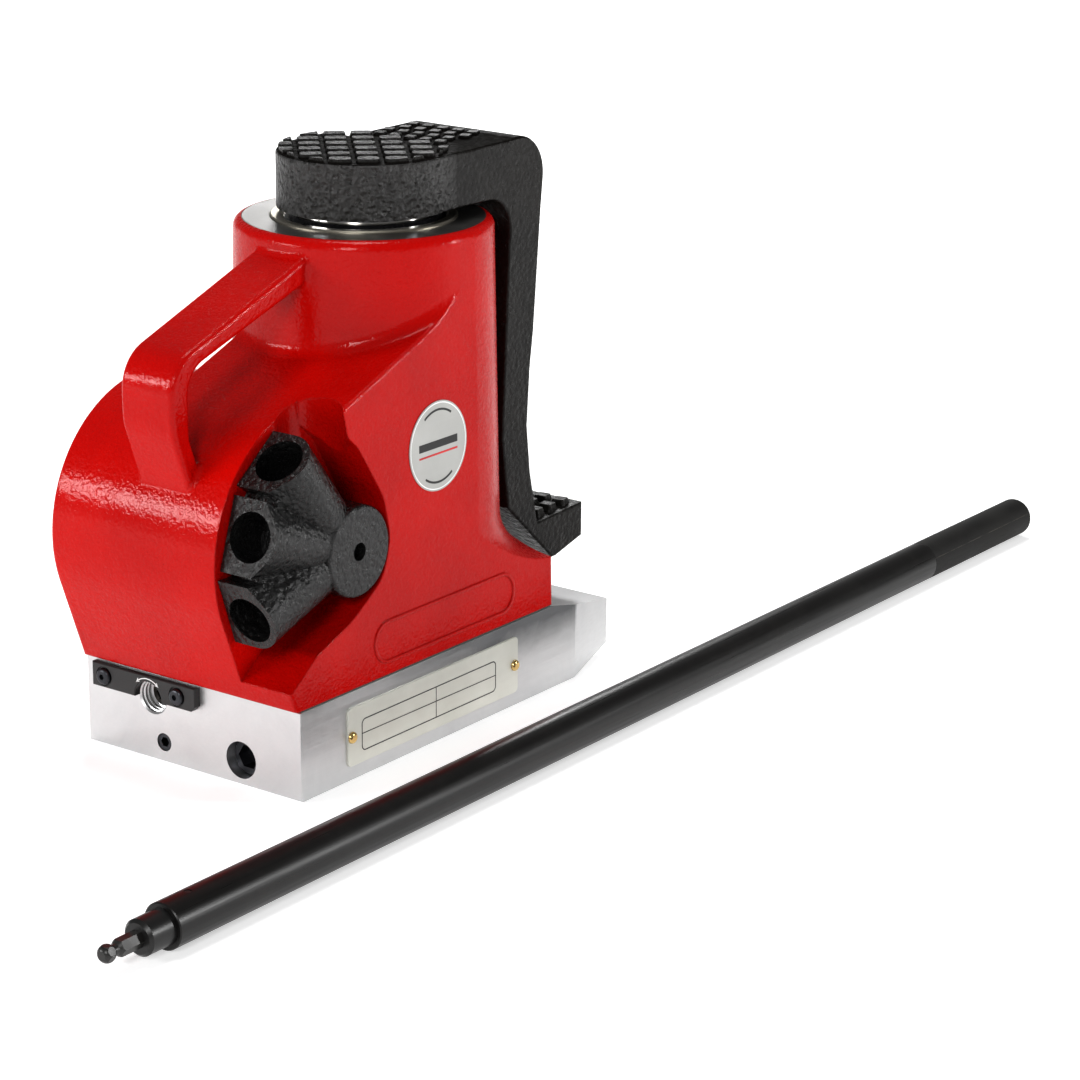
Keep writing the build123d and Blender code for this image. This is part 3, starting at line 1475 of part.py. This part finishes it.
with BuildPart() as lever_cross_pin:
    with BuildSketch(Plane(origin=(pin_x, lever_y, 0.4), x_dir=(1, 0, 0), z_dir=(0, 0, 1))):
        Circle(2.0)
    extrude(amount=2 * lever_radius - 0.8)
    chamfer(lever_cross_pin.edges().filter_by(GeomType.CIRCLE), 0.3)
lever_cross_pin.part.label = "lever_cross_pin"
export_step(lever_cross_pin.part, "parts/lever_cross_pin.step")
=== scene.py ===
import json
import math

import bmesh
import bpy
from mathutils import Matrix, Vector


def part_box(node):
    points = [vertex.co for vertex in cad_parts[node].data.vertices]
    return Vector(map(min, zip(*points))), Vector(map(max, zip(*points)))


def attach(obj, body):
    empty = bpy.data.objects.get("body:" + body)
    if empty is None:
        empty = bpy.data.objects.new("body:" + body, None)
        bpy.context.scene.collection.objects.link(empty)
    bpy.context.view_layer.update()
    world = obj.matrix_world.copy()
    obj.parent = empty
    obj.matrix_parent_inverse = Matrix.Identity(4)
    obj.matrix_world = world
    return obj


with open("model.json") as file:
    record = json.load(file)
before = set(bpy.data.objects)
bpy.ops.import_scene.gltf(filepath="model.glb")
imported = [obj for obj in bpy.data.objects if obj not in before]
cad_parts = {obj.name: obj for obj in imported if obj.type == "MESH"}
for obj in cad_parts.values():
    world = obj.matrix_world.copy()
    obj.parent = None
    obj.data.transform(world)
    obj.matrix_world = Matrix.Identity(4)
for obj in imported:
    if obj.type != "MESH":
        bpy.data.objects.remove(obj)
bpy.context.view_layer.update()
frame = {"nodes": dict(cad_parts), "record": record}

NODES = frame["nodes"]

# Lengths are metres in the shared frame and angles are degrees.
CAMERA_PLACE = (-1.3658, -1.1179, 0.6490)
CAMERA_ANGLES = (-53.862, 17.502, 0.5353)  # azimuth, elevation, roll
LENS, SENSOR = 109.94, 36.0  # millimetres
VIEW_DEPTH = 200.0

# ------------------------------------------------------------------ camera and lamp helpers
scene = bpy.context.scene


def add_camera():
    """A long lens at the photograph's viewing angle, rolled by half a degree."""
    azimuth, elevation, roll = (math.radians(angle) for angle in CAMERA_ANGLES)
    back = Vector((
        math.sin(azimuth) * math.cos(elevation),
        -math.cos(azimuth) * math.cos(elevation),
        math.sin(elevation),
    ))
    level = Vector((math.cos(azimuth), math.sin(azimuth), 0.0))
    upright = back.cross(level)
    right = math.cos(roll) * level + math.sin(roll) * upright
    up = -math.sin(roll) * level + math.cos(roll) * upright
    data = bpy.data.cameras.new("camera")
    data.lens = LENS
    data.sensor_width = SENSOR
    data.clip_end = VIEW_DEPTH
    camera = bpy.data.objects.new("camera", data)
    turn = Matrix((right, up, back)).transposed().to_4x4()
    camera.matrix_world = Matrix.Translation(CAMERA_PLACE) @ turn
    scene.collection.objects.link(camera)
    scene.camera = camera


def add_area_light(name, place, target, size, power, size_y=None):
    """A soft rectangular lamp that faces a target point."""
    data = bpy.data.lights.new(name, "AREA")
    data.shape = "RECTANGLE"
    data.size = size
    data.size_y = size_y or size
    data.energy = power
    lamp = bpy.data.objects.new(name, data)
    lamp.location = place
    lamp.rotation_euler = (Vector(target) - Vector(place)).to_track_quat("-Z", "Y").to_euler()
    scene.collection.objects.link(lamp)


# ------------------------------------------------------------------ node-tree helper
class Paint:
    """A material's node tree, with short names for the nodes the finishes share."""

    def __init__(self, name):
        self.material = bpy.data.materials.new(name)
        self.material.use_nodes = True
        self.tree = self.material.node_tree
        self.tree.nodes.clear()
        self.output = self.new("ShaderNodeOutputMaterial")
        self.coords = self.new("ShaderNodeTexCoord").outputs["Object"]
        split = self.new("ShaderNodeSeparateXYZ")
        self.link(self.coords, split.inputs[0])
        self.x, self.y, self.z = split.outputs

    def new(self, kind):
        """Adds a node."""
        return self.tree.nodes.new(kind)

    def link(self, source, target):
        """Links a socket, or sets a plain value."""
        if isinstance(source, bpy.types.NodeSocket):
            self.tree.links.new(source, target)
        else:
            target.default_value = source

    def math(self, operation, a, b=0.0):
        """Computes one value from two."""
        node = self.new("ShaderNodeMath")
        node.operation = operation
        for value, socket in zip((a, b), node.inputs):
            self.link(value, socket)
        return node.outputs[0]

    def stretched(self, scale):
        """Object coordinates scaled by a different amount along each axis."""
        node = self.new("ShaderNodeVectorMath")
        node.operation = "MULTIPLY"
        self.link(self.coords, node.inputs[0])
        node.inputs[1].default_value = scale
        return node.outputs[0]

    def noise(self, scale, detail=3.0, roughness=0.55, vector=None, distortion=0.0):
        """Fractal noise round 0.5, on object coordinates unless a vector is given."""
        node = self.new("ShaderNodeTexNoise")
        self.link(vector or self.coords, node.inputs["Vector"])
        node.inputs["Scale"].default_value = scale
        node.inputs["Detail"].default_value = detail
        node.inputs["Roughness"].default_value = roughness
        node.inputs["Distortion"].default_value = distortion
        return node.outputs["Fac"]

    def cells(self, scale, feature="F1"):
        """Distance to the nearest of many scattered points."""
        node = self.new("ShaderNodeTexVoronoi")
        node.feature = feature
        self.link(self.coords, node.inputs["Vector"])
        node.inputs["Scale"].default_value = scale
        return node.outputs["Distance"]

    def span(self, value, low, high, to_low=0.0, to_high=1.0):
        """Maps a value's range onto another, clamped."""
        node = self.new("ShaderNodeMapRange")
        node.clamp = True
        for source, socket in zip((value, low, high, to_low, to_high), node.inputs):
            self.link(source, socket)
        return node.outputs[0]

    def mix(self, factor, a, b):
        """Mixes two colours."""
        node = self.new("ShaderNodeMix")
        node.data_type = "RGBA"
        self.link(factor, node.inputs[0])
        for value, socket in ((a, node.inputs[6]), (b, node.inputs[7])):
            if isinstance(value, tuple):
                value = (*value, 1.0)
            self.link(value, socket)
        return node.outputs[2]

    def bump(self, height, distance, strength=1.0, below=None):
        """A normal tilted by a height, on top of another normal if one is given."""
        node = self.new("ShaderNodeBump")
        node.inputs["Strength"].default_value = strength
        node.inputs["Distance"].default_value = distance
        self.link(height, node.inputs["Height"])
        if below is not None:
            self.link(below, node.inputs["Normal"])
        return node.outputs[0]

    def rounded(self, radius):
        """A normal that rounds sharp corners a little."""
        node = self.new("ShaderNodeBevel")
        node.samples = 4
        node.inputs["Radius"].default_value = radius
        return node.outputs[0]

    def surface(self, colour, roughness, normal=None, metallic=0.0, **sockets):
        """A Principled surface; other sockets are given by name."""
        node = self.new("ShaderNodeBsdfPrincipled")
        if isinstance(colour, tuple):
            colour = (*colour, 1.0)
        self.link(colour, node.inputs["Base Color"])
        self.link(roughness, node.inputs["Roughness"])
        node.inputs["Metallic"].default_value = metallic
        if normal is not None:
            self.link(normal, node.inputs["Normal"])
        for name, value in sockets.items():
            self.link(value, node.inputs[name.replace("_", " ")])
        return node.outputs[0]

    def over(self, factor, under, top):
        """Puts one surface over another where factor is 1."""
        node = self.new("ShaderNodeMixShader")
        self.link(factor, node.inputs[0])
        self.link(under, node.inputs[1])
        self.link(top, node.inputs[2])
        return node.outputs[0]

    def done(self, shader):
        """Connects the finished surface and returns the material."""
        self.link(shader, self.output.inputs["Surface"])
        return self.material


def ram_radius(paint):
    """Distance from the ram's axis, which is the frame's own Z axis."""
    squares = [paint.math("MULTIPLY", across, across) for across in (paint.x, paint.y)]
    return paint.math("SQRT", paint.math("ADD", *squares))


# ------------------------------------------------------------------ finishes
TOWER_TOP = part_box("body_casting")[1][2]
BODY_DRAFT = math.atan2(5.0, 227.6)  # lean of the casting's drafted sides
CLAW_HEAD_RADIUS = 0.048
TREAD_FOOT = 0.3137  # just under the flat top that the claw head's tread blocks stand on
BLOCK_LOW, BLOCK_HIGH = 0.3146, 0.3156  # a quarter and two thirds of the way up those blocks
LEVER_Y, PARTING_Z = -0.143, 0.0165  # the lever's axis, and the parting line on its grip
BASE_SIDE = -0.0755  # just inside the base's long side
FACING_RINGS = 9000.0  # radians of the facing cut's ripple per metre
TURNING_PITCH = 0.0006


def red_paint():
    """Thick gloss paint over a cast surface, and the machined face on the tower's top."""
    p = Paint("red_gloss_paint")
    broad = p.noise(14.0, 3.0)
    lumps = p.noise(130.0, 4.0, 0.6)
    peel = p.noise(520.0, 2.0, 0.5)
    colour = p.mix(p.span(broad, 0.35, 0.7), (0.46, 0.0016, 0.0008), (0.55, 0.0030, 0.0012))
    flecks = p.math("LESS_THAN", p.cells(260.0), 0.07)
    sparse = p.math("GREATER_THAN", p.noise(60.0, 2.0), 0.62)
    colour = p.mix(p.math("MULTIPLY", p.math("MULTIPLY", flecks, sparse), 0.5), colour, (0.16, 0.001, 0.001))
    corners = p.rounded(0.0015)
    normal = p.bump(lumps, 0.0016, 0.45, below=corners)
    normal = p.bump(peel, 0.0006, 0.6, below=normal)
    skin = p.bump(lumps, 0.0007, 0.35, below=corners)
    skin = p.bump(peel, 0.0003, 0.45, below=skin)
    rough = p.span(peel, 0.3, 0.7, 0.22, 0.34)
    paint = p.surface(
        colour, rough, normal, Coat_Weight=0.33, Coat_Roughness=0.06, Coat_Normal=skin, Specular_IOR_Level=0.03
    )
    rings = p.math("SINE", p.math("MULTIPLY", ram_radius(p), FACING_RINGS))
    metal_normal = p.bump(rings, 0.00002, 0.5)
    worn = p.noise(60.0, 4.0)
    metal = p.surface(
        p.mix(p.span(worn, 0.4, 0.65), (0.15, 0.147, 0.142), (0.20, 0.196, 0.19)),
        p.span(worn, 0.35, 0.7, 0.36, 0.42), metal_normal, metallic=1.0,
    )
    face = p.span(p.z, TOWER_TOP - 0.00012, TOWER_TOP - 0.00006)
    return p.done(p.over(face, paint, metal))


def machined_aluminium():
    """Milled faces: fine streaks along the cut, cloudy stains, and painted shade towards the top of the long side
    that stands in for a dark reflection.
    """
    p = Paint("machined_aluminium")
    streaks = p.noise(1.0, 4.0, 0.6, vector=p.stretched((16.0, 520.0, 700.0)))
    clouds = p.noise(18.0, 5.0, 0.65, distortion=0.6)
    fine = p.noise(1400.0, 2.0)
    colour = p.mix(p.span(clouds, 0.3, 0.7), (0.60, 0.60, 0.605), (0.70, 0.70, 0.70))
    # Painted shade: the upper part of the long side, more towards its +X end, is darkened in colour to stand in for
    # a dark reflection.
    long_side = p.math("LESS_THAN", p.y, BASE_SIDE)
    height = p.math("ADD", p.z, p.span(clouds, 0.3, 0.7, -0.006, 0.006))
    upper = p.math("MULTIPLY", p.span(height, 0.030, 0.046), p.span(p.x, -0.12, 0.02))
    painted_dark_reflection = p.math("MULTIPLY", p.math("MULTIPLY", long_side, upper), 0.85)
    colour = p.mix(painted_dark_reflection, colour, (0.165, 0.169, 0.177))
    normal = p.bump(streaks, 0.00012, 0.5)
    normal = p.bump(fine, 0.00004, 0.4, below=normal)
    rough = p.math("ADD", p.span(streaks, 0.3, 0.7, 0.30, 0.44), p.span(clouds, 0.4, 0.7, 0.0, 0.08))
    return p.done(p.surface(colour, rough, normal, metallic=1.0, Anisotropic=0.4))


def black_iron(name, lump_depth=0.0023, gloss=0.32, base=(0.0058, 0.0050, 0.0042), smooth_beyond=None):
    """Sand-cast iron under thin black paint; pebbled, and smoother beyond a radius if one is given."""
    p = Paint(name)
    broad = p.noise(28.0, 3.0)
    lumps = p.noise(300.0, 5.0, 0.58, distortion=0.4)
    grain = p.noise(1300.0, 3.0, 0.6)
    pale = tuple(1.9 * c for c in base)
    colour = p.mix(p.span(broad, 0.35, 0.7), base, pale)
    specks = p.math("LESS_THAN", p.cells(420.0), 0.10)
    sparse = p.math("GREATER_THAN", p.noise(170.0, 1.0), 0.60)
    colour = p.mix(p.math("MULTIPLY", p.math("MULTIPLY", specks, sparse), 0.55), colour, (0.16, 0.15, 0.14))
    pebbles = p.cells(360.0, feature="SMOOTH_F1")
    height = p.math("ADD", lumps, p.math("MULTIPLY", pebbles, 0.9))
    shine = 0.5
    rough_more = 0.0
    if smooth_beyond is not None:
        radius = ram_radius(p)
        height = p.math("MULTIPLY", height, p.span(radius, smooth_beyond, smooth_beyond + 0.004, 1.0, 0.28))
        shine = p.span(radius, smooth_beyond, smooth_beyond + 0.004, 0.75, 0.19)
        # The tread is duller than the wall below it, and its channels are duller than its blocks.
        in_tread = p.math("GREATER_THAN", p.z, TREAD_FOOT)
        channel = p.math("MULTIPLY", in_tread, p.span(p.z, BLOCK_LOW, BLOCK_HIGH, 1.0, 0.0))
        shine = p.math("MULTIPLY", shine, p.math("SUBTRACT", 1.0, p.math("MULTIPLY", channel, 0.92)))
        shine = p.math("MULTIPLY", shine, p.span(p.z, TREAD_FOOT, BLOCK_LOW, 1.0, 0.40))
        rough_more = p.math("MULTIPLY", channel, 0.35)
    normal = p.bump(height, lump_depth, 1.0)
    normal = p.bump(grain, 0.0002, 0.5, below=normal)
    rough = p.math("ADD", p.span(lumps, 0.3, 0.7, gloss - 0.09, gloss + 0.12), rough_more)
    return p.done(p.surface(colour, rough, normal, Specular_IOR_Level=shine))


def turned_steel(name, colour, roughness, axis="Z", depth=0.00002, cloudy=0.28):
    """Metal with fine turning marks round an axis and a cloudy tone."""
    p = Paint(name)
    along = {"X": p.x, "Y": p.y, "Z": p.z}[axis]
    marks = p.math("SINE", p.math("MULTIPLY", along, 2.0 * math.pi / TURNING_PITCH))
    cloud = p.noise(90.0, 4.0)
    shade = tuple((1.0 - cloudy) * c for c in colour)
    tint = p.mix(p.span(cloud, 0.35, 0.7), colour, shade)
    normal = p.bump(p.math("ADD", marks, p.noise(900.0, 2.0)), depth, 0.6)
    rough = p.span(cloud, 0.3, 0.7, roughness - 0.18 * cloudy, roughness + 0.28 * cloudy)
    return p.done(p.surface(tint, rough, normal, metallic=1.0))


def moulded(name, colour, roughness, grain_scale=1200.0, grain_depth=0.00008, **sockets):
    """Rubber, polymer, fibre, enamel, ink or blackened steel: a fine grain and a slight change of tone."""
    p = Paint(name)
    cloud = p.noise(40.0, 4.0)
    grain = p.noise(grain_scale, 3.0)
    pale = tuple(min(1.0, 1.5 * c + 0.004) for c in colour)
    tint = p.mix(p.span(cloud, 0.35, 0.72), colour, pale)
    normal = p.bump(grain, grain_depth, 0.6)
    rough = p.span(cloud, 0.3, 0.7, roughness - 0.05, roughness + 0.07)
    return p.done(p.surface(tint, rough, normal, **sockets))


def lever_enamel():
    """Black stove enamel on the lever, with faint drawing lines and handling scuffs."""
    p = Paint("lever_enamel")
    streaks = p.noise(1.0, 4.0, 0.6, vector=p.stretched((9.0, 700.0, 700.0)))
    scuffs = p.noise(30.0, 5.0, 0.7, distortion=1.2)
    colour = p.mix(p.span(scuffs, 0.45, 0.75), (0.0050, 0.0044, 0.0040), (0.012, 0.0110, 0.0100))
    normal = p.bump(streaks, 0.00006, 0.5)
    normal = p.bump(p.noise(1500.0, 2.0), 0.00004, 0.5, below=normal)
    rough = p.span(streaks, 0.3, 0.7, 0.26, 0.44)
    return p.done(p.surface(colour, rough, normal, Specular_IOR_Level=0.45))


def grip_rubber():
    """Matte black grip with the mould's parting line along it."""
    p = Paint("grip_rubber")
    cloud = p.noise(35.0, 5.0, 0.65)
    grain = p.noise(1600.0, 3.0)
    colour = p.mix(p.span(cloud, 0.4, 0.75), (0.0080, 0.0076, 0.0070), (0.022, 0.021, 0.019))
    height = p.math("SUBTRACT", p.z, PARTING_Z)
    line = p.math("LESS_THAN", p.math("ABSOLUTE", height), 0.00025)
    near_side = p.math("LESS_THAN", p.y, LEVER_Y)
    broken = p.span(p.noise(120.0, 4.0), 0.34, 0.56)
    line = p.math("MULTIPLY", p.math("MULTIPLY", line, near_side), broken)
    colour = p.mix(p.math("MULTIPLY", line, 0.4), colour, (0.10, 0.09, 0.07))
    normal = p.bump(p.math("ADD", grain, line), 0.0001, 0.7)
    return p.done(p.surface(colour, p.span(cloud, 0.3, 0.7, 0.60, 0.78), normal, Specular_IOR_Level=0.35))


def plate_alloy(name, low, high):
    """Satin anodised sheet."""
    p = Paint(name)
    streaks = p.noise(1.0, 3.0, 0.6, vector=p.stretched((30.0, 900.0, 1300.0)))
    cloud = p.noise(30.0, 4.0)
    colour = p.mix(p.span(cloud, 0.3, 0.7), low, high)
    normal = p.bump(streaks, 0.00004, 0.5)
    rough = p.span(streaks, 0.3, 0.7, 0.34, 0.46)
    return p.done(p.surface(colour, rough, normal, metallic=0.55))


FINISHES = {
    "red_paint": red_paint(),
    "machined_aluminium": machined_aluminium(),
    "bright_steel": turned_steel("bright_steel", (0.46, 0.43, 0.36), 0.30, depth=0.000006, cloudy=0.10),
    "hard_chrome": turned_steel("hard_chrome", (0.80, 0.80, 0.82), 0.10, depth=0.000003, cloudy=0.06),
    "black_iron": black_iron("claw_iron", smooth_beyond=CLAW_HEAD_RADIUS),
    "black_enamel": moulded("black_enamel", (0.016, 0.015, 0.015), 0.40),
    "black_oxide": turned_steel("black_oxide", (0.075, 0.077, 0.085), 0.34, depth=0.00001),
    "black_rubber": grip_rubber(),
    "seal_polymer": moulded("seal_polymer", (0.010, 0.010, 0.011), 0.16, 500.0, 0.00003, Coat_Weight=0.5),
    "bearing_bronze": turned_steel("bearing_bronze", (0.52, 0.36, 0.17), 0.34),
    "brass": turned_steel("brass", (0.78, 0.56, 0.24), 0.22, axis="Y"),
    "plate_alloy": plate_alloy("plate_alloy", (0.66, 0.66, 0.60), (0.76, 0.76, 0.70)),
    "gasket_fibre": moulded("gasket_fibre", (0.10, 0.11, 0.10), 0.80, 700.0, 0.0001),
    "zinc_steel": turned_steel("zinc_steel", (0.52, 0.53, 0.55), 0.32, depth=0.00001),
}
SPECIAL = {
    "badge_disc": plate_alloy("badge_alloy", (0.40, 0.40, 0.385), (0.46, 0.46, 0.445)),
    "pump_socket": black_iron("socket_iron", lump_depth=0.0010, gloss=0.28, base=(0.0045, 0.0043, 0.0042)),
    "lever_tube": lever_enamel(),
    "lever_spigot": moulded("spigot_steel", (0.0075, 0.0072, 0.0070), 0.34, 1500.0, 0.00004, Specular_IOR_Level=0.5),
    "lever_hex_key": moulded("key_steel", (0.011, 0.0105, 0.0095), 0.36, 1500.0, 0.00004, Specular_IOR_Level=0.6),
    "lever_cross_pin": moulded("pin_steel", (0.012, 0.011, 0.011), 0.4, 1500.0, 0.00004),
    "release_valve": turned_steel("valve_steel", (0.085, 0.078, 0.070), 0.36, axis="X"),
}

# ------------------------------------------------------------------ printed ornaments
PRINT_THICKNESS = 0.00005


def printed_line(name, finish, points, width, plane, closed=False):
    """A thin raised strip that follows points on a plane, given as its origin and three unit directions."""
    origin, across, up, out = plane
    count = len(points)
    bm = bmesh.new()
    rings = []
    for index, (u, v) in enumerate(points):
        before = points[index - 1] if closed or index > 0 else points[index]
        after = points[(index + 1) % count] if closed or index < count - 1 else points[index]
        run = Vector((after[0] - before[0], after[1] - before[1])).normalized()
        side = Vector((-run.y, run.x)) * width / 2
        corners = []
        for sign, lift in ((-1, 0.0), (1, 0.0), (1, PRINT_THICKNESS), (-1, PRINT_THICKNESS)):
            flat = Vector((u, v)) + sign * side
            corners.append(bm.verts.new(origin + across * flat.x + up * flat.y + out * lift))
        rings.append(corners)
    pairs = list(zip(rings, rings[1:])) + ([(rings[-1], rings[0])] if closed else [])
    for here, there in pairs:
        for k in range(4):
            bm.faces.new((here[k], here[(k + 1) % 4], there[(k + 1) % 4], there[k]))
    if not closed:
        bm.faces.new(rings[0])
        bm.faces.new(rings[-1])
    bmesh.ops.recalc_face_normals(bm, faces=bm.faces)
    mesh = bpy.data.meshes.new(name)
    bm.to_mesh(mesh)
    bm.free()
    mesh.materials.append(finish)
    strip = bpy.data.objects.new(name, mesh)
    scene.collection.objects.link(strip)
    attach(strip, "jack_body")


def arc_points(centre, radius, start, end, steps):
    """Points along an arc, angles in degrees."""
    turns = [math.radians(start + (end - start) * k / steps) for k in range(steps + 1)]
    return [(centre[0] + radius * math.cos(t), centre[1] + radius * math.sin(t)) for t in turns]


def rounded_frame(left, bottom, right, top, radius):
    """Points round a rectangle with rounded corners."""
    corners = (
        ((right - radius, top - radius), 0),
        ((left + radius, top - radius), 90),
        ((left + radius, bottom + radius), 180),
        ((right - radius, bottom + radius), 270),
    )
    return [point for centre, start in corners for point in arc_points(centre, radius, start, start + 90, 8)]


INK = moulded("black_ink", (0.012, 0.012, 0.012), 0.5, 2400.0, 0.00001)
RED_INK = moulded("red_ink", (0.45, 0.02, 0.02), 0.5, 2400.0, 0.00001)
WHITE_INK = moulded("white_ink", (0.74, 0.74, 0.73), 0.5, 2400.0, 0.00001)

# Ruled table of the data plate.
plate_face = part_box("data_plate")[0][1] - 0.00001
PLATE = (Vector((0, plate_face, 0)), Vector((1, 0, 0)), Vector((0, 0, 1)), Vector((0, -1, 0)))
TABLE_LEFT, TABLE_SPLIT, TABLE_RIGHT = -0.0989, -0.0352, 0.0185
TABLE_LOW, TABLE_HIGH = 0.0146, 0.0322
table = rounded_frame(TABLE_LEFT, TABLE_LOW, TABLE_RIGHT, TABLE_HIGH, 0.0028)
printed_line("plate_table_frame", INK, table, 0.0006, PLATE, closed=True)
rule_line = [(TABLE_LEFT, 0.0243), (TABLE_RIGHT, 0.0236)]
divider = [(TABLE_SPLIT, TABLE_HIGH), (TABLE_SPLIT, TABLE_LOW)]
printed_line("plate_table_rule", INK, rule_line, 0.0005, PLATE)
printed_line("plate_table_divider", INK, divider, 0.0005, PLATE)

# Curved double arrow over the release valve.
cover_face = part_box("valve_cover_plate")[0][0] - 0.00001
COVER = (Vector((cover_face, 0, 0)), Vector((0, -1, 0)), Vector((0, 0, 1)), Vector((-1, 0, 0)))
valve_centre = (-0.0277, 0.0355)
ARROW_RADIUS = 0.0114
arc = arc_points(valve_centre, ARROW_RADIUS, 48, 132, 24)
printed_line("cover_arrow_arc", WHITE_INK, arc, 0.0006, COVER)
for side, angle in (("right", 46), ("left", 134)):
    tip = arc_points(valve_centre, ARROW_RADIUS, angle, angle, 1)[0]
    turn = 12 if angle < 90 else -12
    barbs = [arc_points(valve_centre, r, angle + turn, angle + turn, 1)[0] for r in (0.0124, 0.0105)]
    printed_line("cover_arrow_" + side, WHITE_INK, [barbs[0], tip, barbs[1]], 0.0005, COVER)

# Plain ornament of the round badge: a rim line, two short arcs, a bar and a thin line under it.
badge_low, badge_high = (Vector(corner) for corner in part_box("badge_disc"))
badge_radius = (badge_high.x - badge_low.x) / 2
badge_middle = (badge_low + badge_high) / 2
badge_out = Vector((0, -math.cos(BODY_DRAFT), math.sin(BODY_DRAFT)))
badge_up = Vector((0, math.sin(BODY_DRAFT), math.cos(BODY_DRAFT)))
BADGE = (badge_middle + badge_out * 0.00026, Vector((1, 0, 0)), badge_up, badge_out)
rim = arc_points((0, 0), badge_radius - 0.0011, 0, 355, 71)
printed_line("badge_rim", WHITE_INK, rim, 0.0007, BADGE, closed=True)
for part, (start, end) in {"high": (55, 125), "low": (235, 305)}.items():
    curve = arc_points((0, 0), badge_radius - 0.0048, start, end, 20)
    printed_line("badge_arc_" + part, INK, curve, 0.0012, BADGE)
BAR_END = 0.0165
printed_line("badge_bar", INK, [(-BAR_END, 0.0012), (BAR_END, 0.0012)], 0.0042, BADGE)
printed_line("badge_underline", RED_INK, [(-BAR_END, -0.0042), (BAR_END, -0.0042)], 0.0011, BADGE)

slot_of = {part["node"]: part["material_slot"] for part in frame["record"]["subparts"]}
for node_name, node_object in NODES.items():
    finish = SPECIAL.get(node_name) or FINISHES[slot_of[node_name]]
    node_object.data.materials.clear()
    node_object.data.materials.append(finish)

# ------------------------------------------------------------------ floor, camera and lamps
FLOOR_REACH, FLOOR_DROP = 60, 0.0004
floor_mesh = bpy.data.meshes.new("floor")
floor_corners = [(x * FLOOR_REACH, y * FLOOR_REACH, 0) for x, y in ((-1, -1), (1, -1), (1, 1), (-1, 1))]
floor_mesh.from_pydata(floor_corners, [], [(0, 1, 2, 3)])
floor = bpy.data.objects.new("floor", floor_mesh)
floor.location.z = -FLOOR_DROP
scene.collection.objects.link(floor)
floor_paint = Paint("pale_floor")
floor_tone = floor_paint.mix(floor_paint.noise(3.0), (0.84, 0.84, 0.84), (0.87, 0.87, 0.87))
# The floor glows more beyond the lamps' reach, so that the background stays white.
far_glow = floor_paint.span(ram_radius(floor_paint), 1.0, 2.4, 0.50, 1.0)
floor_shader = floor_paint.surface(
    floor_tone, 0.95, Specular_IOR_Level=0.1, Emission_Color=(1.0, 1.0, 1.0, 1.0), Emission_Strength=far_glow
)
floor_mesh.materials.append(floor_paint.done(floor_shader))

world = bpy.data.worlds.new("studio")
world.use_nodes = True
world.node_tree.nodes["Background"].inputs["Color"].default_value = (1.0, 1.0, 1.0, 1.0)
world.node_tree.nodes["Background"].inputs["Strength"].default_value = 0.20
scene.world = world
scene.view_settings.view_transform = "Standard"
scene.view_settings.gamma = 0.86

add_camera()
add_area_light("front_fill", (-2.0, -0.9, 1.15), (0, 0, 0.15), 0.55, 18.0)
add_area_light("left_band", (-1.9, 1.3, 0.72), (-0.1, 0, 0.15), 1.1, 22.0, size_y=0.28)
add_area_light("right_box", (1.05, -1.75, 0.62), (0, 0, 0.17), 0.20, 17.0, size_y=0.50)
add_area_light("back_rim", (1.3, 0.9, 1.1), (0, 0, 0.2), 0.5, 12.0)
add_area_light("overhead", (0.1, 0.2, 2.2), (0, 0, 0.1), 0.6, 17.0)
